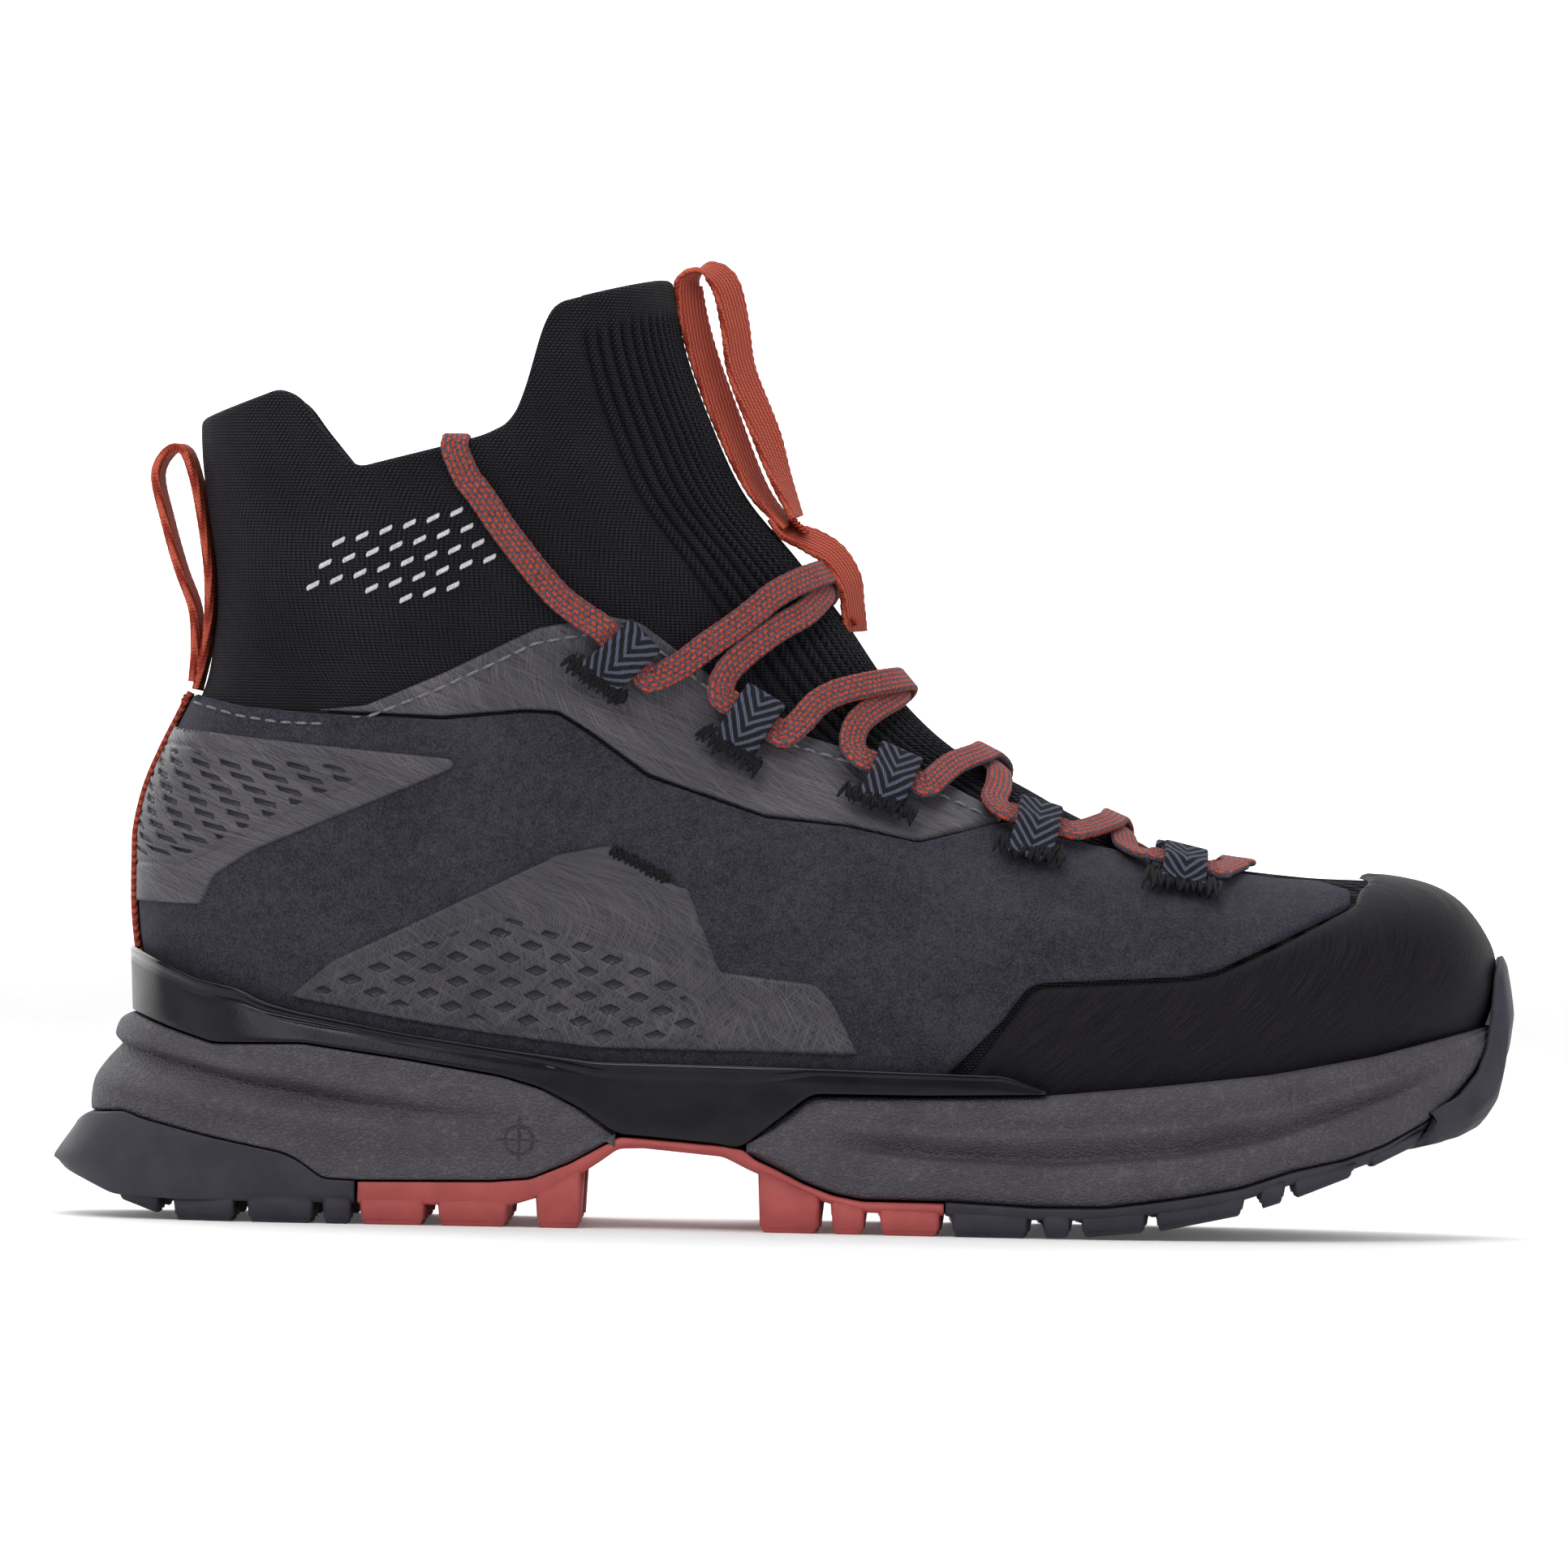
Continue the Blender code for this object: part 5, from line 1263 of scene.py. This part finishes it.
INSIDE_RUN = [(-71, 154), (-70.4, 143), (-68, 130), (-64, 115), (-59, 100), (-54, 84), (-49.5, 70)]
RIM_X = -71
OVER_RIM = [(2.0, 0.2, 0.7), (0.6, 2.2, 0.2), (-1.8, 2.9, 0), (-4.4, 2.2, -0.4), (-5.8, -0.6, -0.8)]
HEEL_LOOP = [(-124.9, 110), (-123.2, 118.6), (-122.3, 127), (-122.7, 136), (-124.4, 147),
             (-126.2, 155), (-128.3, 160), (-131.5, 160), (-134, 155), (-132, 146), (-128.9, 135.6),
             (-125.7, 127), (-125.2, 119), (-125.7, 111.7)]
TONGUE_LOOP = [(-1.9, 146.6), (-9.2, 154.4), (-16.8, 169.6), (-22, 183.6), (-24.6, 194.6),
               (-24, 198), (-20.8, 199.4), (-17, 196.5), (-14.8, 188), (-13.2, 178.4), (-8, 165.6),
               (-4.2, 156.6), (-0.1, 148.4)]
KEEPER = [(-5.2, 148.6), (-2.2, 145.3), (2.6, 143.2), (7.4, 140.2), (10.7, 135), (11.6, 129.3),
          (12.2, 124.3)]
WEBBING_WIDTH, WEBBING_STEP = 10, 1.9
DASH_ROWS = [(-94.9, 141, 7), (-97.6, 136.4, 8), (-100.1, 131.9, 8), (-87.9, 131.5, 6),
             (-80.8, 129.6, 3)]
DASH_STEP, DASH_LEAN, DASH_RISE = (4.87, 1.33), 0.47, 1.1
BARTACKS = [((-47.3, 118), (-35.3, 108.7)), ((-19.3, 102), (-6.7, 94)), ((10, 90), (25, 84)),
            ((41.8, 78.6), (55.6, 75)), ((72.4, 72), (88.6, 69.6))]
STITCHED = [[(-100, 104.6), (-88.5, 104.7), (-73.5, 111), (-60.6, 117.4), (-54, 120.8),
             (-47, 122.2), (-39.4, 123.4)],
            [(-32, 122.4), (-19.6, 113.2), (-5.8, 102), (13.2, 96.4), (30.6, 90.2), (41, 85.8)],
            [(-124.6, 106.9), (-114.7, 104.4), (-106, 103.3), (-97, 103.2)]]
SWING = (-0.7, 0.7)


def lengths(path):
    """Distance along a path to each of its points."""
    return np.concatenate([[0], np.cumsum(np.linalg.norm(np.diff(path, axis=0), axis=1))])


def even(path, step, *others):
    """A path and what goes with it, smoothed and respaced to points about step apart."""
    parts = [np.asarray(p, float) for p in (path, *others)]
    fine = [spline(p, np.linspace(0, 1, 12 * len(parts[0]))) for p in parts]
    run = lengths(fine[0])
    wanted = np.linspace(0, run[-1], max(3, round(run[-1] / step)))
    return [np.stack([np.interp(wanted, run, p[:, i]) for i in range(p.shape[1])], 1) for p in fine]


def woven_section(width, thick, count=9):
    """A flat webbing's cross-section with round edges: across and up, anticlockwise."""
    half = width / 2 - thick / 2
    top = [(half * (1 - 2 * i / (count - 1)), thick / 2) for i in range(count)]
    turns = [math.radians(a) for a in (120, 150, 180, 210, 240)]
    left = [(-half + thick / 2 * math.cos(t), thick / 2 * math.sin(t)) for t in turns]
    bottom = [(-x, -y) for x, y in top]
    right = [(-x, -y) for x, y in left]
    return np.array(top + left + bottom + right)


def scallops(height, pitch):
    """Small waves along a woven edge."""
    return lambda run: height * np.sin(run * 2 * math.pi / pitch)


def ribbon(name, path, across, width, thick, look, swell=None, step=0.7, centred=False, **piece):
    """A strap swept along a path. swell gives a change of width along it."""
    path, across = even(path, step, across)
    along = np.gradient(path, axis=0)
    along = unit(along)
    across = across - along * (across * along).sum(1, keepdims=True)
    across = unit(across)
    up = np.cross(along, across)
    run = lengths(path)
    section = woven_section(width, thick)
    grow = 1 + (swell(run) if swell else np.zeros(len(run)))[:, None, None] / width
    points = path[:, None] + across[:, None] * section[None, :, :1] * grow
    points = points + up[:, None] * section[None, :, 1:]
    faces = capped_faces(len(path), len(section))
    over = np.tile(section[:, 0], (len(path), 1))
    along_run = np.tile(run[:, None], (1, len(section)))
    flat = np.stack([over, along_run] if centred else [along_run, over + width / 2], -1)
    return add_piece(name, points.reshape(-1, 3), faces, look, flat=flat.reshape(-1, 2), **piece), path


def tube(points, radius, sides=7):
    """A round thread along points, with blunt round ends."""
    p = np.asarray(points, float)
    along = np.gradient(p, axis=0)
    along = unit(along)
    first = np.cross(along, np.array([0.31, 0.87, 0.39]))
    first = unit(first)
    second = np.cross(along, first)
    thick = np.full(len(p), radius)
    thick[[0, -1]] *= 0.55
    turns = np.linspace(0, 2 * math.pi, sides, endpoint=False)
    rings = [p + (first * math.cos(t) + second * math.sin(t)) * thick[:, None] for t in turns]
    return np.stack(rings, 1).reshape(-1, 3), capped_faces(len(p), sides)


def loop_frame(k, side):
    """A lace loop's sewn end, the lace's place inside it, and the directions there."""
    sewn, fold = (np.array(p, float) for p in LACE_LOOPS[k])
    low, _ = surface_at(*sewn, side, 0)
    high, _ = surface_at(*fold, side, 0)
    held = fold - (fold - sewn) * LACE_BEHIND_FOLD / np.linalg.norm(high - low)
    base, normal = surface_at(*held, side, 0)
    along = high - base
    along -= normal * along.dot(normal)
    along /= np.linalg.norm(along)
    return sewn, held, base, normal, along


def lace_loop(word, k, side):
    """A folded webbing loop, open where the lace passes through its fold."""
    radius = LACE_THICK / 2 + LOOP_CLEARANCE + LOOP_THICK / 2
    sewn, held, base, normal, along = loop_frame(k, side)
    lace_centre = base + normal * LACE_IN_LOOP
    low = LACE_IN_LOOP - radius
    path = [surface_at(*(sewn + (held - sewn) * d), side, low)[0] for d in (0.15, 0.35)]
    tip = LACE_WIDTH / 2 + 0.3
    path += [lace_centre + along * d - normal * radius for d in (-tip, 0, tip)]
    for degrees in (-60, -30, 0, 30, 60):
        turn = math.radians(degrees)
        path.append(lace_centre + along * (tip + radius * math.cos(turn))
                    + normal * radius * math.sin(turn))
    path += [lace_centre + along * d + normal * radius for d in (tip, 0, -tip)]
    path += [surface_at(*(sewn + (held - sewn) * 0.2), side, low + 1.7)[0],
             surface_at(*sewn, side, low + 1.5)[0]]
    across = [np.cross(normal, along)] * len(path)
    node = f"lace_loop_{word}_{k + 1}"
    ribbon(node, path, across, LOOP_WIDTH, LOOP_THICK, CHEVRON, step=0.5, centred=True,
           nodes=[node], slot="slate_webbing", swell=scallops(0.16, 2.1))


def strand(points, side, heights):
    """Side places of X and Z as surface places with heights over the upper."""
    return [(*to_grid(x, z, side), h) for (x, z), h in zip(points, heights)]


def half_lace(side):
    """From the collar down one side's loops to the bar: surface places, and the loops held."""
    run = strand(COLLAR_RUN[::-1], side, [1.8] * 4)
    loops = []
    for k in range(5):
        _, held, base, normal, along = loop_frame(k, side)
        through = np.cross(normal, along) * side
        loops.append((len(run) + 1, base + normal * LACE_IN_LOOP, normal, through))
        beside = through[[0, 2]] * LACE_BESIDE_LOOP
        run += strand([held - beside, held, held + beside], side, [LACE_IN_LOOP] * 3)
        if k < 4:
            cross = LACE_HIGH if side == LATERAL else LACE_LOW
            run += strand(RISE[k], side, np.linspace(3.6, cross, 4)[1:])
            run.append((0, np.interp(-CROSSING_X[k], -FRONT_CURVE[:, 0], DENSE), cross))
            side = -side
            run += strand(FALL[k], side, np.linspace(cross, 3.6, 4)[1:])
    return run + strand(BAR_SIDE, side, [3, 2.4]), loops


def laced_path(side):
    """Half the lace's middle line from the collar to the bar, and its facing directions."""
    run, loops = half_lace(side)
    run.append((0, np.interp(-BAR_X, -FRONT_CURVE[:, 0], DENSE), LACE_BAR))
    t = spline(np.array(run, float), np.linspace(0, 1, 2 * len(run) - 1))
    path, facing = off_surface(t[:, 0], t[:, 1], t[:, 2])
    for index, centre, normal, through in loops:
        places = (-LACE_BESIDE_LOOP, -LACE_STRAIGHT, 0, LACE_STRAIGHT, LACE_BESIDE_LOOP)
        for step, d in enumerate(places):
            path[2 * index + step - 2] = centre + through * d
            facing[2 * index + step - 2] = normal
    return path, facing


def lace_tail(side):
    """From inside the shaft up over the rim."""
    places, facing = [], []
    for x, z in INSIDE_RUN[::-1]:
        place, normal = surface_at(x, z, side, LACE_INSIDE)
        places.append(place)
        facing.append(-normal)
    for out, lift, lean in OVER_RIM[::-1]:
        place, normal = surface_at(RIM_X, level(RIM, RIM_X), side, out)
        places.append(place + np.array([0, 0, lift]))
        facing.append(normal * lean + np.array([0, 0, 1 - abs(lean)]))
    return np.array(places), np.array(facing)


def lace():
    """One flat lace along its whole route through the ten loops and over the rim."""
    halves = []
    for side in (MEDIAL, LATERAL):
        tail, tail_facing = lace_tail(side)
        path, facing = laced_path(side)
        halves.append((np.concatenate([tail, path]), np.concatenate([tail_facing, facing])))
    (first, first_facing), (second, second_facing) = halves
    path = np.concatenate([first, second[-2::-1]])
    facing = np.concatenate([first_facing, second_facing[-2::-1]])
    across = np.cross(np.gradient(path, axis=0), facing)
    made, line = ribbon("lace", path, across, LACE_SHOWN, LACE_THICK, LACE_LOOK, step=0.9,
                        nodes=["lace"], slot="woven_lace", swell=scallops(0.12, 2.7))


def webbing(name, line, body, turn, thick, out=0.0, aside=0.0, hangs=False):
    """A red strap near the middle plane, turned about its length, with scalloped woven edges."""
    path = np.stack([[x for x, _ in line], np.full(len(line), aside), [z for _, z in line]], 1)
    reach = path[len(path) // 2] - (path[0] + path[-1]) / 2
    away = reach if hangs else np.array([reach[2], 0, -reach[0]])
    away = away / np.linalg.norm(away)
    from_start = np.arange(len(path))
    near_end = from_start if hangs else np.minimum(from_start, from_start[::-1])
    ease = np.clip(near_end / 2, 0, 1)[:, None]
    path = path + away * out * ease
    across = np.array([0, math.cos(turn), 0]) + away * math.sin(turn) * (0.3 + 0.7 * ease)
    ribbon(name, path, across, WEBBING_WIDTH, thick, RED_TWILL,
           step=0.4, nodes=[name], slot="red_webbing", body=body, centred=True,
           swell=scallops(0.34, WEBBING_STEP))


def zigzag(start, end, side, out, width, passes, wander=0.25):
    """Satin stitches packed along a line on the upper, as one thread."""
    a, b = np.array(start, float), np.array(end, float)
    along = b - a
    across = np.array([-along[1], along[0]]) / np.linalg.norm(along)
    points = []
    for i in range(passes + 1):
        place = a + along * i / passes + across * width / 2 * (1 if i % 2 else -1)
        points.append(place + rng.normal(0, wander, 2))
    line = []
    for p, q in zip(points, points[1:]):
        for f in (0, 0.25, 0.5, 0.75):
            bow = 0.45 * math.sin(math.pi * f)
            line.append(surface_at(*(p + (q - p) * f), side, out + bow)[0])
    return tube(line, 0.42)


def bartacks():
    """Black zigzag stitching over the foot of each lace loop and at the mid window's top."""
    parts = []
    for side in (LATERAL, MEDIAL):
        for (start, end), out in zip(BARTACKS, (4.5, 4.5, 4.5, 4.5, 4.0)):
            parts.append(zigzag(start, end, side, out, 4.2, 19, 0.4))
            parts.append(zigzag(start, end, side, out - 0.2, 2.8, 22))
        parts.append(zigzag((-36.8, 78), (-24.7, 71.9), side, 2.2, 2.2, 22, 0.12))
    add_piece("bartacks", *joined(parts), BLACK_THREAD)


def stitch_line(points, side, out, length=3.0, gap=0.7, radius=0.33):
    """Thread stitches along a side line on the upper."""
    line = fill_in(points, 0.5, False)
    run = lengths(line)
    parts = []
    for start in np.arange(0.5, run[-1] - length, length + gap):
        at = np.linspace(start, start + length, 5)
        x, z = np.interp(at, run, line[:, 0]), np.interp(at, run, line[:, 1])
        sink = (-0.28, 0.02, 0.1, 0.02, -0.28)
        places = [surface_at(p, q, side, out + s)[0] for p, q, s in zip(x, z, sink)]
        parts.append(tube(places, radius, 6))
    return parts


def stitching():
    """Grey stitch lines on the panels, and the red thread over the feet of the webbing."""
    grey = []
    for side in (LATERAL, MEDIAL):
        for line in STITCHED[:2]:
            grey += stitch_line(line, side, 1.05)
        grey += stitch_line(STITCHED[2], side, 1.62, 2.2, 0.9, 0.3)
    add_piece("stitches", *joined(grey), GREY_THREAD)
    parts = []
    foot = [(-1.9 + 0.6 * k, 146.9 - 0.6 * k, 0.9) for k in range(5)]
    for x, z, lean in (*foot, (11.0, 126.4, 0.6), (11.6, 125.6, 0.6)):
        line = []
        for i, y in enumerate(np.linspace(-6.6, 3.4, 21)):
            swing = SWING[i % 2]
            line.append((x + swing * lean + 1.1, y, z + swing * (1 - lean) + 0.9))
        parts.append(tube(line, 0.36))
    for z in (108.2, 107.4):
        back = np.interp(z, BACK_CURVE[:, 1], BACK_CURVE[:, 0]) - 3.1
        across = np.linspace(-4.6, 4.6, 19)
        line = [(back, y, z + (0.5 if i % 2 else -0.5)) for i, y in enumerate(across)]
        parts.append(tube(line, 0.4))
    add_piece("webbing_bartacks", *joined(parts), RED_THREAD)


def knit_dashes():
    """Short white floats knitted into the ankle in slanted rows."""
    lean = np.array([math.cos(DASH_LEAN), math.sin(DASH_LEAN)])
    rise = np.array([math.cos(DASH_RISE), math.sin(DASH_RISE)])
    parts = []
    for side in (LATERAL, MEDIAL):
        for x, z, count in DASH_ROWS:
            for i in range(count):
                for step in (-0.95, -0.3, 0.35, 1.0):
                    at = np.array([x + DASH_STEP[0] * i, z + DASH_STEP[1] * i]) + lean * step
                    ends = [at + rise * f for f in (-0.6, -0.25, 0.25, 0.6)]
                    heights = (0.0, 0.25, 0.25, 0.0)
                    places = [surface_at(*p, side, h)[0] for p, h in zip(ends, heights)]
                    parts.append(tube(places, 0.4, 7))
    add_piece("knit_dashes", *joined(parts), WHITE_KNIT)


def heel_tape():
    """The woven red tape sewn up the heel seam."""
    places = []
    for z in np.linspace(54.6, 108.5, 116):
        v = np.interp(z, BACK_CURVE[:, 1], DENSE)
        point, _ = off_surface(np.array([math.pi]), np.array([v]), 2.3)
        places.append(point[0] * np.array([1, 0, 1]))
    ribbon("heel_tape", places, np.tile([0, 1.0, 0], (len(places), 1)), 9.4, 1.4, RED_TAPE, step=0.5,
           nodes=["heel_tape"], slot="red_webbing", centred=True,
           swell=scallops(0.25, WEBBING_STEP))


for word, side in SIDES.items():
    for k in range(5):
        lace_loop(word, k, side)
lace()
webbing("heel_pull_loop", HEEL_LOOP, "heel_loop", 0.12, 1.9)
webbing("tongue_pull_loop", TONGUE_LOOP, "tongue_loop", 0.6, 1.5, 1.1, -2.0)
webbing("lace_keeper", KEEPER, "boot", 0.55, 1.5, 0.6, -2.4, True)
heel_tape()
bartacks()
stitching()
knit_dashes()


# Scene.

PAPER = (0.9, 0.9, 0.9)


def camera():
    """Level with the boot's side and far away, rolled as the picture is."""
    distance, width, roll = 3.0, 0.3284, math.radians(1.084)
    lens = bpy.data.cameras.new("camera")
    lens.lens = 36 * distance / width
    lens.clip_end = 50
    made = bpy.data.objects.new("camera", lens)
    made.location = (-0.0014, -distance, 0.0926)
    made.rotation_euler = (math.pi / 2, 0, 0)
    made.rotation_euler.rotate_axis("Z", roll)
    bpy.context.scene.collection.objects.link(made)
    bpy.context.scene.camera = made


def area_light(name, place, aim, size, power):
    lamp = bpy.data.lights.new(name, "AREA")
    lamp.size, lamp.energy = size, power
    made = bpy.data.objects.new(name, lamp)
    made.location = place
    made.rotation_euler = (Vector(aim) - Vector(place)).to_track_quat("-Z", "Y").to_euler()
    bpy.context.scene.collection.objects.link(made)


def sheet_of(name, corners, look):
    mesh = bpy.data.meshes.new(name)
    mesh.from_pydata(corners, [], [(0, 1, 2, 3)])
    mesh.materials.append(look)
    made = bpy.data.objects.new(name, mesh)
    bpy.context.scene.collection.objects.link(made)


def glowing(name, colour, glow):
    """A pale stage finish that gives off a little light, as a lit paper sweep does."""
    f = Finish(name, colour, 0.6)
    grain = f.noise(f.place((60, 60, 60)), 2.0)
    f.rough(f.ramp(grain, 0.3, 0.7, 0.55, 0.65))
    f.shader.inputs["Emission Color"].default_value = (1, 1, 1, 1)
    f.shader.inputs["Emission Strength"].default_value = glow
    return f.made


def studio():
    """Pale floor and backdrop, soft lamps and a white world."""
    sheet_of("floor", [(-6, -6, 0), (6, -6, 0), (6, 6, 0), (-6, 6, 0)],
             glowing("pale_floor", PAPER, 0.06))
    sheet_of("backdrop", [(-9, 5, -1), (9, 5, -1), (9, 5, 9), (-9, 5, 9)],
             glowing("backdrop", PAPER, 1.2))
    area_light("key", (-0.5, -1.4, 1.5), (0, 0, 0.08), 0.9, 15)
    area_light("fill", (1.2, -1.1, 0.8), (0, 0, 0.08), 1.2, 5)
    area_light("side", (-1.7, -0.7, 0.55), (-0.05, 0, 0.07), 0.9, 3.5)
    area_light("top", (0, 0.1, 1.9), (0, 0, 0.08), 1.4, 17)
    area_light("rim", (-0.9, 1.2, 0.9), (0, 0, 0.1), 1.0, 6)
    world = bpy.data.worlds.new("studio")
    world.use_nodes = True
    world.node_tree.nodes["Background"].inputs["Color"].default_value = (1, 1, 1, 1)
    world.node_tree.nodes["Background"].inputs["Strength"].default_value = 0.32
    bpy.context.scene.world = world
    bpy.context.scene.view_settings.view_transform = "Standard"


camera()
studio()
